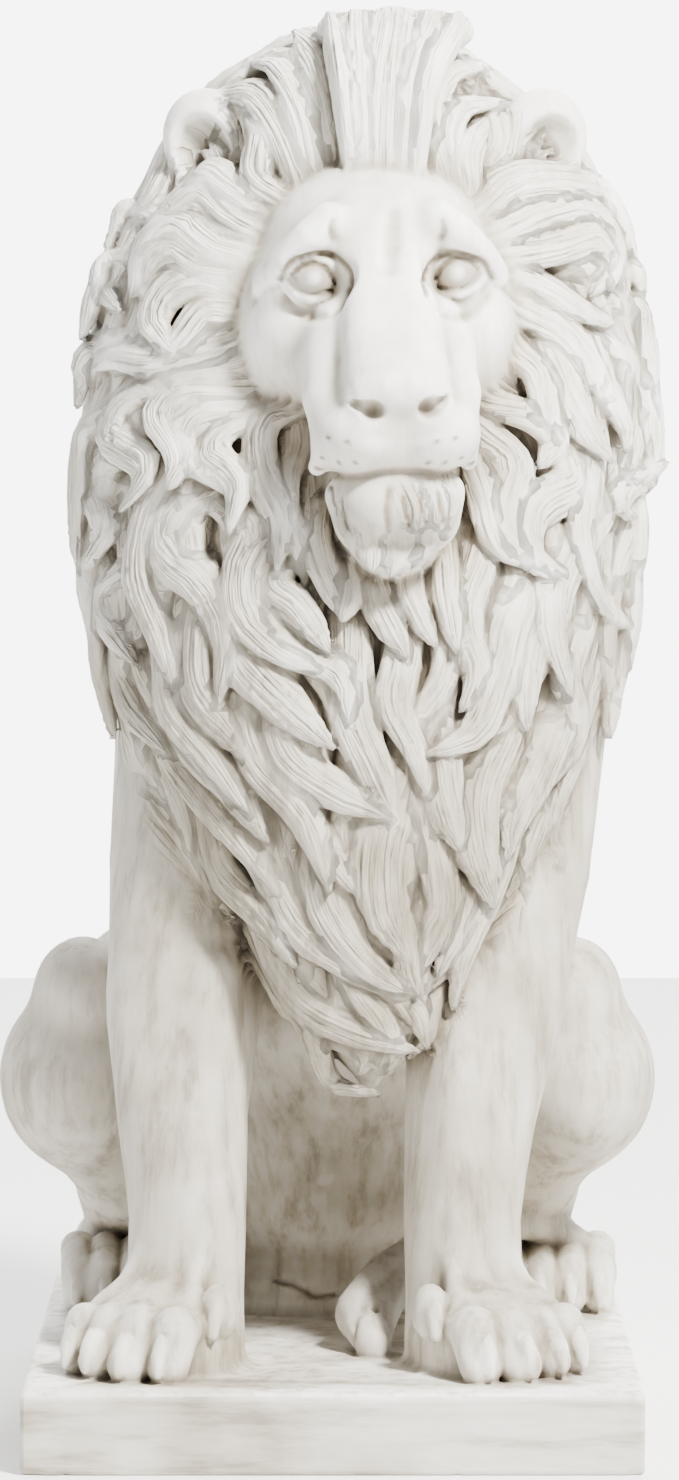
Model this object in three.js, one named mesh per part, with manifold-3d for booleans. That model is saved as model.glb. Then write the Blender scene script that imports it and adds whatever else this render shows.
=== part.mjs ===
// A seated lion with a full carved mane, cast in one piece with the slab it sits on.
// The lion faces -Y. The origin is the middle of the slab's underside. Millimetres, +Z up.
import * as THREE from "three";
import { mergeVertices } from "three/addons/utils/BufferGeometryUtils.js";
import Module from "manifold-3d";

// Driving sizes of the casting.
const SLAB_WIDTH = 300;
const SLAB_DEPTH = 400;
const SLAB_HEIGHT = 40;
const SLAB_EDGE_RADIUS = 2.5;
const LION_HEIGHT = 671;
const CAST_OVERLAP = 4; // how far the lion's paws and rump run down into the slab

// How finely the lion is modelled before it is faceted.
const MODELLING_CELL = 5.5;
const LION_FACETS = 9300;

// The lion is drawn 671 high on the slab's top, so every number below is a share of its height.
const SCALE = LION_HEIGHT / 671;

const { sin, cos, abs, max, min, sqrt, hypot, PI, floor } = Math;
const DEGREE = PI / 180;
const LEFT = -1;
const RIGHT = 1;

const clamp = (v, low, high) => min(max(v, low), high);
const mix = (a, b, t) => a + (b - a) * t;
const smoothstep = (low, high, v) => {
  const t = clamp((v - low) / (high - low), 0, 1);
  return t * t * (3 - 2 * t);
};

// A place is a turned frame: a yaw about Z, then a pitch about X, then a roll about Y.
class Place {
  constructor(origin, yaw = 0, pitch = 0, roll = 0) {
    this.toWorld = new THREE.Matrix4()
      .makeRotationFromEuler(new THREE.Euler(pitch * DEGREE, roll * DEGREE, yaw * DEGREE, "ZXY"))
      .setPosition(...origin);
    this.toLocal = this.toWorld.clone().invert();
  }

  world(point) {
    return new THREE.Vector3(...point).applyMatrix4(this.toWorld).toArray();
  }
}

const ON_SLAB = new Place([0, 0, 0]);

// An egg is an ellipsoid; its distance is exact on the skin and close near it.
function egg(centre, radii, place = ON_SLAB, turn = [0, 0, 0]) {
  const seat = new Place(place.world(centre), ...turn);
  seat.toWorld = place.toWorld.clone().multiply(new Place(centre, ...turn).toWorld);
  const m = seat.toWorld.clone().invert().elements;
  const [cx, cy, cz] = place.world(centre);
  const [a, b, c] = radii;
  const reach = max(...radii);
  return {
    low: [cx - reach, cy - reach, cz - reach],
    high: [cx + reach, cy + reach, cz + reach],
    distance(x, y, z) {
      const px = m[0] * x + m[4] * y + m[8] * z + m[12];
      const py = m[1] * x + m[5] * y + m[9] * z + m[13];
      const pz = m[2] * x + m[6] * y + m[10] * z + m[14];
      const near = hypot(px / a, py / b, pz / c);
      const steep = hypot(px / a / a, py / b / b, pz / c / c);
      return steep < 1e-9 ? -min(a, b, c) : (near * (near - 1)) / steep;
    },
  };
}

// A limb is a chain of balls [x, y, z, radius] joined by cones.
function limb(knots, place = ON_SLAB) {
  const balls = knots.map(([x, y, z, r]) => [...place.world([x, y, z]), r]);
  const reach = (axis, sign) => balls.map((ball) => ball[axis] + sign * ball[3]);
  return {
    low: [0, 1, 2].map((axis) => min(...reach(axis, -1))),
    high: [0, 1, 2].map((axis) => max(...reach(axis, 1))),
    distance(x, y, z) {
      let nearest = Infinity;
      for (let i = 0; i + 1 < balls.length; i++) {
        const [ax, ay, az, ar] = balls[i];
        const [bx, by, bz, br] = balls[i + 1];
        const dx = bx - ax;
        const dy = by - ay;
        const dz = bz - az;
        const along = (x - ax) * dx + (y - ay) * dy + (z - az) * dz;
        const t = clamp(along / (dx * dx + dy * dy + dz * dz), 0, 1);
        const away = hypot(x - ax - t * dx, y - ay - t * dy, z - az - t * dz);
        nearest = min(nearest, away - mix(ar, br, t));
      }
      return nearest;
    },
  };
}

// Clay is a field of distances on a grid. Forms are pressed into it or carved out of it,
// and each meets what is there in a fillet of the given size.
class Clay {
  constructor(low, high, cell) {
    this.low = low;
    this.cell = cell;
    this.count = low.map((v, i) => Math.ceil((high[i] - v) / cell) + 1);
    this.value = new Float32Array(this.count[0] * this.count[1] * this.count[2]).fill(1e3);
  }

  work(form, fillet, blend) {
    const reach = fillet + 2 * this.cell;
    const from = form.low.map((v, i) => max(0, floor((v - reach - this.low[i]) / this.cell)));
    const to = form.high.map((v, i) =>
      min(this.count[i] - 1, Math.ceil((v + reach - this.low[i]) / this.cell)),
    );
    for (let k = from[2]; k <= to[2]; k++)
      for (let j = from[1]; j <= to[1]; j++)
        for (let i = from[0]; i <= to[0]; i++) {
          const at = i + this.count[0] * (j + this.count[1] * k);
          const d = form.distance(
            this.low[0] + i * this.cell,
            this.low[1] + j * this.cell,
            this.low[2] + k * this.cell,
          );
          this.value[at] = blend(this.value[at], d, fillet);
        }
  }

  press(form, fillet = 6) {
    this.work(form, fillet, roundedUnion);
  }

  carve(form, fillet = 3) {
    this.work(form, fillet, (a, b, size) => -roundedUnion(-a, b, size));
  }

  // Fills every hollow that the open air can't reach: what air reaches spreads from a corner.
  fillHollows() {
    const [nx, ny, nz] = this.count;
    const steps = [1, nx, nx * ny];
    const reached = new Uint8Array(this.value.length);
    const open = [0];
    reached[0] = 1;
    while (open.length) {
      const at = open.pop();
      const place = [at % nx, floor(at / nx) % ny, floor(at / nx / ny)];
      steps.forEach((step, axis) => {
        for (const way of [-1, 1]) {
          const next = at + way * step;
          const inside = place[axis] + way >= 0 && place[axis] + way < [nx, ny, nz][axis];
          if (inside && !reached[next] && this.value[next] > 0) {
            reached[next] = 1;
            open.push(next);
          }
        }
      });
    }
    this.value.forEach((v, at) => {
      if (v > 0 && !reached[at]) this.value[at] = -0.3 * this.cell;
    });
  }
}

function roundedUnion(a, b, fillet) {
  const overlap = max(fillet - abs(a - b), 0);
  return min(a, b) - (overlap * overlap) / (4 * fillet);
}

// The lion leans a little to its left above the elbows.
const lean = (z) => -4 + 19 * smoothstep(90, 340, z);

function pressTorso(clay) {
  clay.press(limb([[12, -18, 330, 88], [9, 28, 240, 82], [3, 82, 150, 82], [0, 110, 96, 78]]), 20);
  clay.press(egg([0, 112, 84], [96, 78, 92]), 24);
  clay.press(limb([[0, 126, 100, 66], [0, 134, -10, 58]]), 24);
  for (const side of [LEFT, RIGHT])
    clay.press(egg([side * 44, 60, 300], [40, 48, 70]), 24);
}

function pressHaunch(clay, side) {
  const x = (v) => side * v - 3;
  clay.press(egg([x(96), 94, 118], [46, 84, 82], ON_SLAB, [side * -6, 12, side * 4]), 16);
  clay.press(egg([x(126), 22, 148], [41, 44, 50]), 14);
  clay.press(limb([[x(122), 20, 124, 34], [x(108), 62, 72, 23], [x(104), 124, 38, 24]]), 12);
  clay.press(limb([[x(114), 146, 22, 22], [x(114), 96, 16, 20], [x(117), 62, 13, 19]]), 10);
  const toeAcross = [95, 111, 127, 140];
  toeAcross.forEach((across, toe) => {
    const width = 10 - 0.6 * toe;
    const back = 6 * toe;
    clay.press(
      limb([
        [x(across), 74 + back, 19, width],
        [x(across), 52 + back, 22, width],
        [x(across), 40 + back, 8, width - 1],
      ]),
      3,
    );
  });
}

function pressForeleg(clay, side) {
  const across = (z, v) => lean(z) + side * v;
  const column = [
    [72, -16, 308, 52],
    [75, -36, 242, 46],
    [75, -58, 180, 39],
    [71, -80, 120, 32],
    [68, -92, 70, 29],
    [69, -99, 34, 29],
    [70, -104, 8, 30],
  ];
  clay.press(limb(column.map(([v, y, z, r]) => [across(z, v), y, z, r])), 16);
  clay.press(limb([[across(215, 80), -14, 215, 26], [across(160, 74), -44, 160, 24]]), 16);
  pressForepaw(clay, side);
}

// A forepaw turns outwards. Its four toes fan out from the knuckles, with a claw in each.
function pressForepaw(clay, side) {
  const paw = new Place([lean(0) + side * 69, -102, 0], side * 22);
  clay.press(egg([0, -24, 12], [37, 44, 30], paw), 10);
  const spread = [-29, -10, 10, 29];
  spread.forEach((across, toe) => {
    const x = side * across;
    const reach = toe === 0 || toe === 3 ? 60 : 67;
    clay.press(
      limb([[x * 0.9, -34, 29, 10], [x, -50, 26, 11.5], [x * 1.04, -reach, 10, 10.5]], paw),
      3,
    );
    clay.press(limb([[x * 1.04, -reach - 6, 19, 4], [x * 1.04, -reach - 10, 8, 2.5]], paw), 2);
  });
  clay.press(egg([side * -33, -24, 30], [9, 11, 14], paw), 3);
  clay.press(limb([[side * -36, -34, 30, 4], [side * -36, -37, 20, 3]], paw), 2);
}

// The tail comes round the right hind foot, over its toes and behind the foreleg to its tuft.
function pressTail(clay) {
  clay.press(
    limb([
      [18, 176, 66, 14], [62, 184, 30, 13], [106, 172, 14, 11], [134, 138, 11, 10], [140, 102, 12, 9.5],
      [136, 76, 24, 9], [114, 64, 42, 9], [86, 40, 50, 9], [62, 2, 48, 9], [42, -30, 42, 9],
    ]),
    4,
  );
  clay.press(limb([[40, -34, 44, 9], [28, -50, 34, 13], [17, -66, 18, 16], [20, -88, 6, 9]]), 5);
}

// The head is worked in its own frame: it turns a little to the lion's left.
const HEAD = new Place([18.5, -50, 520], 6, 0, -2);

function pressHead(clay) {
  const press = (form, fillet) => clay.press(form, fillet);
  press(egg([0, 2, 4], [66, 72, 74], HEAD), 10);
  press(egg([0, -34, 34], [48, 40, 36], HEAD), 16);
  press(limb([[0, -60, 34, 20], [0, -84, 6, 23], [0, -103, -28, 24]], HEAD), 14);
  press(egg([0, -106, -38], [28, 21, 18], HEAD), 6);
  press(egg([0, -72, -48], [40, 46, 32], HEAD), 14);
  for (const side of [LEFT, RIGHT]) {
    press(egg([side * 20, -93, -60], [25, 30, 21], HEAD), 7);
    press(egg([side * 44, -32, -12], [25, 38, 40], HEAD), 16);
    clay.carve(egg([side * 35, -78, 12], [19, 20, 13], HEAD), 5);
    press(limb([[side * 14, -80, 30, 8], [side * 32, -76, 34, 8], [side * 52, -54, 24, 8]], HEAD), 6);
    press(egg([side * 35, -58, 14], [15, 15, 12], HEAD), 1);
    press(limb([[side * 20, -72, 4, 4], [side * 36, -71, 0, 5], [side * 51, -56, 8, 4]], HEAD), 3);
    clay.carve(egg([side * 15, -125, -47], [8, 9, 5.5], HEAD), 3);
  }
  press(egg([0, -84, -95], [33, 33, 22], HEAD), 4);
  clay.carve(limb([[-46, -80, -76, 3], [-20, -116, -83, 3], [0, -124, -78, 3]], HEAD), 3);
  clay.carve(limb([[46, -80, -76, 3], [20, -116, -83, 3], [0, -124, -78, 3]], HEAD), 3);
  press(egg([0, -66, -106], [27, 34, 30], HEAD), 6);
  for (const across of [-20, 0, 20])
    press(
      limb([[across, -92, -104, 11], [across - 4, -74, -132, 11], [across * 0.8 + 5, -72, -158, 9], [across * 0.5, -74, -182, 3]], HEAD),
      1.5,
    );
}

function pressEar(clay, side) {
  const ear = new Place([21 + side * 80, -40, 604], side * 22, 6, side * 22);
  clay.press(egg([0, 0, 0], [27, 20, 29], ear), 6);
  clay.carve(egg([side * -2, -18, -4], [15, 13, 17], ear), 3);
}

// The mane's mass: [height, middle across, half width, middle depth, depth in front, depth behind].
const MANE_STATIONS = [
  [136, 18, 10, -100, 10, 20],
  [162, 17, 34, -88, 32, 55],
  [200, 15, 58, -74, 52, 70],
  [250, 13, 90, -52, 80, 88],
  [310, 13, 117, -25, 107, 102],
  [370, 15, 134, -12, 114, 108],
  [430, 16.5, 142, -5, 108, 108],
  [490, 17.5, 141, -2, 100, 108],
  [550, 19, 129, 0, 95, 102],
  [600, 19, 104, 2, 92, 90],
  [636, 16, 72, 0, 74, 69],
  [657, 20, 42, -6, 48, 43],
];

// The mane's section at a height, smooth between the stations.
function maneSection(z) {
  const last = MANE_STATIONS.length - 1;
  const height = clamp(z, MANE_STATIONS[0][0], MANE_STATIONS[last][0]);
  let i = 0;
  while (i < last - 1 && MANE_STATIONS[i + 1][0] < height) i++;
  const [p0, p1, p2, p3] = [i - 1, i, i + 1, i + 2].map((n) => MANE_STATIONS[clamp(n, 0, last)]);
  const t = (height - p1[0]) / (p2[0] - p1[0]);
  return p1.map((_, n) => {
    const rise = (p2[n] - p0[n]) / 2;
    const fall = (p3[n] - p1[n]) / 2;
    const bend = 3 * (p2[n] - p1[n]) - 2 * rise - fall;
    return p1[n] + t * (rise + t * (bend + t * (rise + fall - 2 * (p2[n] - p1[n]))));
  });
}

// The point of the mane's skin at an angle round it, 0 in front, and a height.
function manePoint(angle, z) {
  const [height, middle, half, depth, front, back] = maneSection(z);
  const reach = cos(angle) > 0 ? front : back;
  return [middle + half * sin(angle), depth - reach * cos(angle), height];
}

function maneNormal(angle, z) {
  const at = (a, h) => new THREE.Vector3(...manePoint(a, h));
  const round = at(angle + 0.02, z).sub(at(angle - 0.02, z));
  const rise = at(angle, z + 2).sub(at(angle, z - 2));
  return round.cross(rise).normalize();
}

// The mass under the locks stands back 9 from their tops.
const maneMass = {
  low: [-140, -140, MANE_STATIONS[0][0]],
  high: [170, 120, MANE_STATIONS.at(-1)[0]],
  distance(x, y, z) {
    const [, middle, half, depth, front, back] = maneSection(z);
    const [wide, deep] = [half, y < depth ? front : back].map((v) => max(v - 9, 3));
    const across = hypot((x - middle) / wide, (y - depth) / deep);
    const beyond = max(MANE_STATIONS[0][0] - z, z - MANE_STATIONS.at(-1)[0]);
    return max((across - 1) * min(wide, deep) * 0.8, beyond);
  },
};

// The locks part round the face, whose middle and half sizes on the mane's skin these are.
const faceEdge = { angle: 0.06, middle: 506, halfWidth: 72, halfHeight: 90 };

// The way a lock runs at a spot of the skin: away from the face at first, and hanging further out.
function lockHeading(angle, z) {
  const half = max(maneSection(z)[2], 30);
  const across = (angle - faceEdge.angle) * half;
  const up = z - faceEdge.middle;
  const away = hypot(across, up) || 1;
  const out = hypot(across / faceEdge.halfWidth, up / faceEdge.halfHeight);
  const hang = smoothstep(1, up > 0 ? 2.3 : 1.7, out);
  const inward = -0.55 * clamp(across / 60, -1, 1) * smoothstep(430, 250, z) * smoothstep(1.5, 0.7, abs(angle));
  const x = mix(across / away, inward, hang);
  const y = mix(up / away, -1, hang);
  const length = hypot(x, y) || 1;
  return [x / length / half, y / length];
}

// A lock: it follows the heading with a side to side wave, swells, and tapers to a lifted tip.
function lock({ angle, z, length, width, wave, phase, lift = 8 }) {
  const steps = 7;
  const knots = [];
  let [a, h] = [angle, z];
  for (let step = 0; step <= steps; step++) {
    const t = step / steps;
    const [da, dh] = lockHeading(a, h);
    const half = max(maneSection(h)[2], 30);
    const sway = wave * sin(2 * PI * (1.05 * t + phase)) * (0.35 + 0.65 * t);
    const sideAngle = a - (sway * dh) / half;
    const sideHeight = h + sway * da * half;
    const radius = width * 0.5 * (t < 0.4 ? mix(0.8, 1, t / 0.4) : mix(1, 0.24, ((t - 0.4) / 0.6) ** 1.4));
    const rise = mix(-0.7, -0.3, t) * width * 0.5 + lift * t * t;
    const point = manePoint(sideAngle, sideHeight);
    const normal = maneNormal(sideAngle, clamp(sideHeight, 140, 640));
    knots.push([...point.map((v, i) => v + normal.getComponent(i) * rise), radius]);
    a += (da * length) / steps;
    h += (dh * length) / steps;
  }
  return limb(knots);
}

// Rings of locks round the face, from the outermost to the one beside the face:
// [how far out, how many, from this angle either side of straight up, to this one, length, width].
const LOCK_RINGS = [
  [3.5, 5, 158, 180, 50, 26],
  [3.0, 8, 136, 180, 92, 31],
  [2.4, 11, 108, 180, 104, 33],
  [1.82, 15, 58, 180, 108, 33],
  [1.24, 16, 26, 168, 100, 30],
];

function pressFrontLocks(clay) {
  LOCK_RINGS.forEach(([out, count, from, to, length, width], ring) => {
    for (let i = 0; i < count; i++) {
      const half = (count - 1) / 2;
      const share = (i - half) / half;
      const turn = Math.sign(share || 1) * mix(from, to, 1 - abs(share)) * DEGREE;
      const z = faceEdge.middle + out * faceEdge.halfHeight * cos(turn);
      const across = out * faceEdge.halfWidth * sin(turn);
      const angle = faceEdge.angle + across / max(maneSection(z)[2], 30);
      const vary = sin(i * 12.9 + ring * 7.3);
      clay.press(
        lock({ angle, z, length: length * (1 + 0.14 * vary), width, wave: 12, phase: 0.5 * vary + ring * 0.3 }),
        2,
      );
    }
  });
}

const BACK_ROWS = [326, 388, 450, 512, 570, 620, 644];

function pressBackLocks(clay) {
  BACK_ROWS.forEach((z, row) => {
    const count = 8 + (row % 2);
    for (let i = 0; i < count; i++) {
      const angle = mix(1.22, 2 * PI - 1.22, (i + 0.5) / count);
      const vary = sin(i * 8.1 + row * 4.7);
      clay.press(lock({ angle, z, length: 96 + 10 * vary, width: 38, wave: 8, phase: 0.5 * vary }), 2);
    }
  });
}

// The forelocks sweep up from the brow and fan out over the crown:
// [across at the brow, across on top, thickness, drop on top].
const FORELOCKS = [
  [-46, -92, 15, 44], [-34, -68, 16, 22], [-21, -41, 16, 7], [-7, -17, 15, -2],
  [4, 3, 16, -4], [16, 20, 15, -2], [27, 40, 15, 7], [38, 60, 15, 23], [48, 80, 15, 42],
];

function pressForelocks(clay) {
  clay.press(egg([23, -16, 601], [66, 70, 60]), 12);
  clay.press(egg([20, 26, 589], [82, 74, 66]), 16);
  for (const [brow, crown, thick, drop] of FORELOCKS) {
    const back = 0.7 * drop;
    clay.press(
      limb([
        [20 + brow, -96 + back * 0.5, 586 - drop * 0.2, thick * 0.7],
        [22 + mix(brow, crown, 0.4), -91 + back * 0.6, 616 - drop * 0.5, thick * 0.95],
        [26 + mix(brow, crown, 0.75), -68 + back * 0.4, 641 - drop * 0.8, thick],
        [30 + crown, -34, 656 - drop - thick * 0.3, thick],
        [31 + crown, 12, 646 - drop * 1.2 - thick * 0.3, thick],
        [28 + crown, 50, 612 - drop, thick * 0.8],
      ]),
      2,
    );
  }
}

function modelLion() {
  const clay = new Clay([-185, -200, -2 * CAST_OVERLAP], [185, 210, 685], MODELLING_CELL / SCALE);
  pressTorso(clay);
  for (const side of [LEFT, RIGHT]) {
    pressHaunch(clay, side);
    pressForeleg(clay, side);
  }
  clay.press(maneMass, 12);
  pressHead(clay);
  pressTail(clay);
  pressBackLocks(clay);
  pressFrontLocks(clay);
  pressForelocks(clay);
  for (const side of [LEFT, RIGHT]) pressEar(clay, side);
  clay.fillHollows();
  return clay;
}

// The skin of the clay by marching tetrahedra: six to a cell, all sharing its long diagonal,
// so that the triangles always close.
const CELL_WALKS = [[1, 2, 4], [1, 4, 2], [2, 1, 4], [2, 4, 1], [4, 1, 2], [4, 2, 1]];

function skinOf(clay, floorHeight) {
  const [nx, ny, nz] = clay.count;
  const stride = (bits) => (bits & 1) + nx * ((bits >> 1) & 1) + nx * ny * ((bits >> 2) & 1);
  const total = nx * ny * nz;
  const depth = (at) => {
    const [i, j, k] = [at % nx, floor(at / nx) % ny, floor(at / nx / ny)];
    const border = i === 0 || j === 0 || i === nx - 1 || j === ny - 1 || k === nz - 1 || k === 0;
    const low = floorHeight - (clay.low[2] + k * clay.cell);
    const d = border ? clay.cell : max(clay.value[at], low);
    return abs(d) < 1e-3 ? 1e-3 : d;
  };
  const field = new Float32Array(total);
  for (let at = 0; at < total; at++) field[at] = depth(at);

  const known = new Map();
  const points = [];
  const triangles = [];
  const crossing = (a, b) => {
    const [p, q] = a < b ? [a, b] : [b, a];
    const key = p * 8 + diagonalOf(q - p);
    if (!known.has(key)) {
      const t = clamp(field[p] / (field[p] - field[q]), 0.04, 0.96);
      const place = (at) => [at % nx, floor(at / nx) % ny, floor(at / nx / ny)];
      const [from, to] = [place(p), place(q)];
      points.push(from.map((v, n) => clay.low[n] + clay.cell * mix(v, to[n], t)));
      known.set(key, points.length - 1);
    }
    return known.get(key);
  };
  const strides = [0, 1, 2, 3, 4, 5, 6, 7].map(stride);
  const diagonalOf = (difference) => strides.indexOf(difference);

  for (let k = 0; k < nz - 1; k++)
    for (let j = 0; j < ny - 1; j++)
      for (let i = 0; i < nx - 1; i++) {
        const base = i + nx * (j + ny * k);
        let inside = 0;
        for (const s of strides) if (field[base + s] < 0) inside++;
        if (inside === 0 || inside === 8) continue;
        CELL_WALKS.forEach(([first, second, third], walk) => {
          const corners = [0, first, first | second, 7].map((bits) => base + stride(bits));
          const even = walk === 0 || walk === 3 || walk === 4;
          cutTetrahedron(corners, field, crossing, triangles, even);
        });
      }
  return { points, triangles };
}

// Adds the one or two triangles where a tetrahedron's corners change from inside to outside.
function cutTetrahedron(corners, field, crossing, triangles, even) {
  const inner = [0, 1, 2, 3].filter((n) => field[corners[n]] < 0);
  const outer = [0, 1, 2, 3].filter((n) => field[corners[n]] >= 0);
  if (inner.length === 0 || outer.length === 0) return;
  const edge = (a, b) => crossing(corners[a], corners[b]);
  const order = [...inner, ...outer];
  let swaps = 0;
  for (let a = 0; a < 4; a++) for (let b = a + 1; b < 4; b++) if (order[a] > order[b]) swaps++;
  const forward = (swaps % 2 === 0) === even;
  const add = (a, b, c) => triangles.push(forward ? [a, b, c] : [a, c, b]);
  if (inner.length === 1) add(...outer.map((n) => edge(inner[0], n)));
  else if (inner.length === 3) add(...inner.map((n) => edge(n, outer[0])));
  else {
    const [a, b] = inner;
    const [c, d] = outer;
    add(edge(a, c), edge(a, d), edge(b, c));
    add(edge(b, c), edge(a, d), edge(b, d));
  }
}

// Merges edges, cheapest first, until the skin has the wanted facets. The cost of a merge is the
// squared distance of the new corner from the planes of the facets that it stands for.
class Faceting {
  constructor({ points, triangles }) {
    this.points = Float64Array.from(points.flat());
    this.faces = Int32Array.from(triangles.flat());
    this.left = triangles.length;
    this.around = points.map(() => []);
    this.quadrics = new Float64Array(10 * points.length);
    this.version = new Int32Array(points.length);
    this.mark = new Int32Array(points.length);
    this.marks = 0;
    this.heap = new Heap();
    triangles.forEach((face, f) => this.stampPlane(face, f));
    for (let f = 0; f < triangles.length; f++)
      for (let n = 0; n < 3; n++) {
        const [a, b] = [this.faces[3 * f + n], this.faces[3 * f + ((n + 1) % 3)]];
        if (a < b) this.offer(a, b);
      }
  }

  // The facet's normal, as long as twice its area, with one corner moved if a place is given.
  normal(f, moved = -1, place = null) {
    const { points, faces } = this;
    const at = (n, axis) => (faces[3 * f + n] === moved ? place[axis] : points[3 * faces[3 * f + n] + axis]);
    const [x, y, z] = [at(0, 0), at(0, 1), at(0, 2)];
    const [ux, uy, uz] = [at(1, 0) - x, at(1, 1) - y, at(1, 2) - z];
    const [vx, vy, vz] = [at(2, 0) - x, at(2, 1) - y, at(2, 2) - z];
    return [uy * vz - uz * vy, uz * vx - ux * vz, ux * vy - uy * vx];
  }

  stampPlane(face, f) {
    const [x, y, z] = this.normal(f);
    const area = hypot(x, y, z) || 1e-12;
    const start = 3 * face[0];
    const [px, py, pz] = this.points.subarray(start, start + 3);
    const plane = [x / area, y / area, z / area, -(x * px + y * py + z * pz) / area];
    for (const v of face) {
      this.around[v].push(f);
      let n = 10 * v;
      for (let i = 0; i < 4; i++)
        for (let j = i; j < 4; j++) this.quadrics[n++] += area * plane[i] * plane[j];
    }
  }

  // The best place for the corner that two corners merge into, and its cost.
  merged(a, b) {
    const { points, quadrics } = this;
    const q = [];
    for (let n = 0; n < 10; n++) q.push(quadrics[10 * a + n] + quadrics[10 * b + n]);
    const cost = (x, y, z) =>
      q[0] * x * x + 2 * q[1] * x * y + 2 * q[2] * x * z + 2 * q[3] * x + q[4] * y * y +
      2 * q[5] * y * z + 2 * q[6] * y + q[7] * z * z + 2 * q[8] * z + q[9];
    const [ax, ay, az] = [points[3 * a], points[3 * a + 1], points[3 * a + 2]];
    const [bx, by, bz] = [points[3 * b], points[3 * b + 1], points[3 * b + 2]];
    const middle = [(ax + bx) / 2, (ay + by) / 2, (az + bz) / 2];
    const gap = hypot(ax - bx, ay - by, az - bz);
    const places = [middle, [ax, ay, az], [bx, by, bz]];
    const best = flattest(q);
    if (best && hypot(best[0] - middle[0], best[1] - middle[1], best[2] - middle[2]) < gap)
      places.push(best);
    const costs = places.map((p) => cost(...p));
    const least = costs.indexOf(min(...costs));
    return { place: places[least], cost: costs[least] + 1e-3 * gap * gap };
  }

  offer(a, b) {
    this.heap.push(this.merged(a, b).cost, a, b, this.version[a] + this.version[b]);
  }

  neighbours(v) {
    const mark = ++this.marks;
    const found = [];
    for (const f of this.around[v])
      for (let n = 0; n < 3; n++) {
        const other = this.faces[3 * f + n];
        if (other !== v && this.mark[other] !== mark) {
          this.mark[other] = mark;
          found.push(other);
        }
      }
    return found;
  }

  // True if moving the corner to the new place would turn over a facet that the merge keeps.
  turnsOver(corner, other, place) {
    for (const f of this.around[corner]) {
      const { faces } = this;
      if (faces[3 * f] === other || faces[3 * f + 1] === other || faces[3 * f + 2] === other) continue;
      const [ax, ay, az] = this.normal(f);
      const [bx, by, bz] = this.normal(f, corner, place);
      const sizes = hypot(ax, ay, az) * hypot(bx, by, bz);
      if (sizes < 1e-3 || ax * bx + ay * by + az * bz < 0.25 * sizes) return true;
    }
    return false;
  }

  merge(a, b) {
    const { faces, around, quadrics, points } = this;
    const near = new Set(this.neighbours(b));
    const common = this.neighbours(a).filter((n) => near.has(n));
    if (common.length !== 2) return;
    const { place } = this.merged(a, b);
    if (this.turnsOver(a, b, place) || this.turnsOver(b, a, place)) return;
    points.set(place, 3 * a);
    for (let n = 0; n < 10; n++) quadrics[10 * a + n] += quadrics[10 * b + n];
    for (const f of around[b]) {
      const corners = [faces[3 * f], faces[3 * f + 1], faces[3 * f + 2]];
      if (corners.includes(a)) {
        for (const v of corners) if (v !== b) around[v] = around[v].filter((other) => other !== f);
        faces[3 * f] = -1;
        this.left--;
      } else {
        faces[3 * f + corners.indexOf(b)] = a;
        around[a].push(f);
      }
    }
    around[b] = [];
    this.version[a]++;
    this.version[b]++;
    for (const n of this.neighbours(a)) this.offer(min(a, n), max(a, n));
  }

  reduceTo(wanted) {
    while (this.left > wanted && this.heap.size > 0) {
      const { a, b, stamp } = this.heap.pop();
      if (this.version[a] + this.version[b] === stamp && this.around[b].length) this.merge(a, b);
    }
    const corners = [];
    for (let f = 0; f < this.faces.length; f += 3)
      if (this.faces[f] >= 0) for (let n = 0; n < 3; n++) corners.push(this.faces[f + n]);
    return corners.flatMap((v) => [...this.points.subarray(3 * v, 3 * v + 3)]);
  }
}

// The point where a quadric is least, or null where it is too flat to say.
function flattest([xx, xy, xz, x, yy, yz, y, zz, z]) {
  const a = yy * zz - yz * yz;
  const b = xz * yz - xy * zz;
  const c = xy * yz - xz * yy;
  const determinant = xx * a + xy * b + xz * c;
  if (abs(determinant) < 1e-2) return null;
  const d = xx * zz - xz * xz;
  const e = xy * xz - xx * yz;
  const f = xx * yy - xy * xy;
  return [
    -(a * x + b * y + c * z) / determinant,
    -(b * x + d * y + e * z) / determinant,
    -(c * x + e * y + f * z) / determinant,
  ];
}

// A heap of offered merges that gives back its cheapest first.
class Heap {
  costs = [];
  ends = [];
  size = 0;

  put(at, cost, a, b, stamp) {
    this.costs[at] = cost;
    this.ends[3 * at] = a;
    this.ends[3 * at + 1] = b;
    this.ends[3 * at + 2] = stamp;
  }

  copy(from, to) {
    this.put(to, this.costs[from], this.ends[3 * from], this.ends[3 * from + 1], this.ends[3 * from + 2]);
  }

  push(cost, a, b, stamp) {
    let at = this.size++;
    while (at > 0) {
      const up = (at - 1) >> 1;
      if (this.costs[up] <= cost) break;
      this.copy(up, at);
      at = up;
    }
    this.put(at, cost, a, b, stamp);
  }

  pop() {
    const top = { a: this.ends[0], b: this.ends[1], stamp: this.ends[2] };
    const last = --this.size;
    const cost = this.costs[last];
    const [a, b, stamp] = [this.ends[3 * last], this.ends[3 * last + 1], this.ends[3 * last + 2]];
    let at = 0;
    for (;;) {
      let down = 2 * at + 1;
      if (down >= last) break;
      if (down + 1 < last && this.costs[down + 1] < this.costs[down]) down++;
      if (this.costs[down] >= cost) break;
      this.copy(down, at);
      at = down;
    }
    this.put(at, cost, a, b, stamp);
    return top;
  }
}

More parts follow.
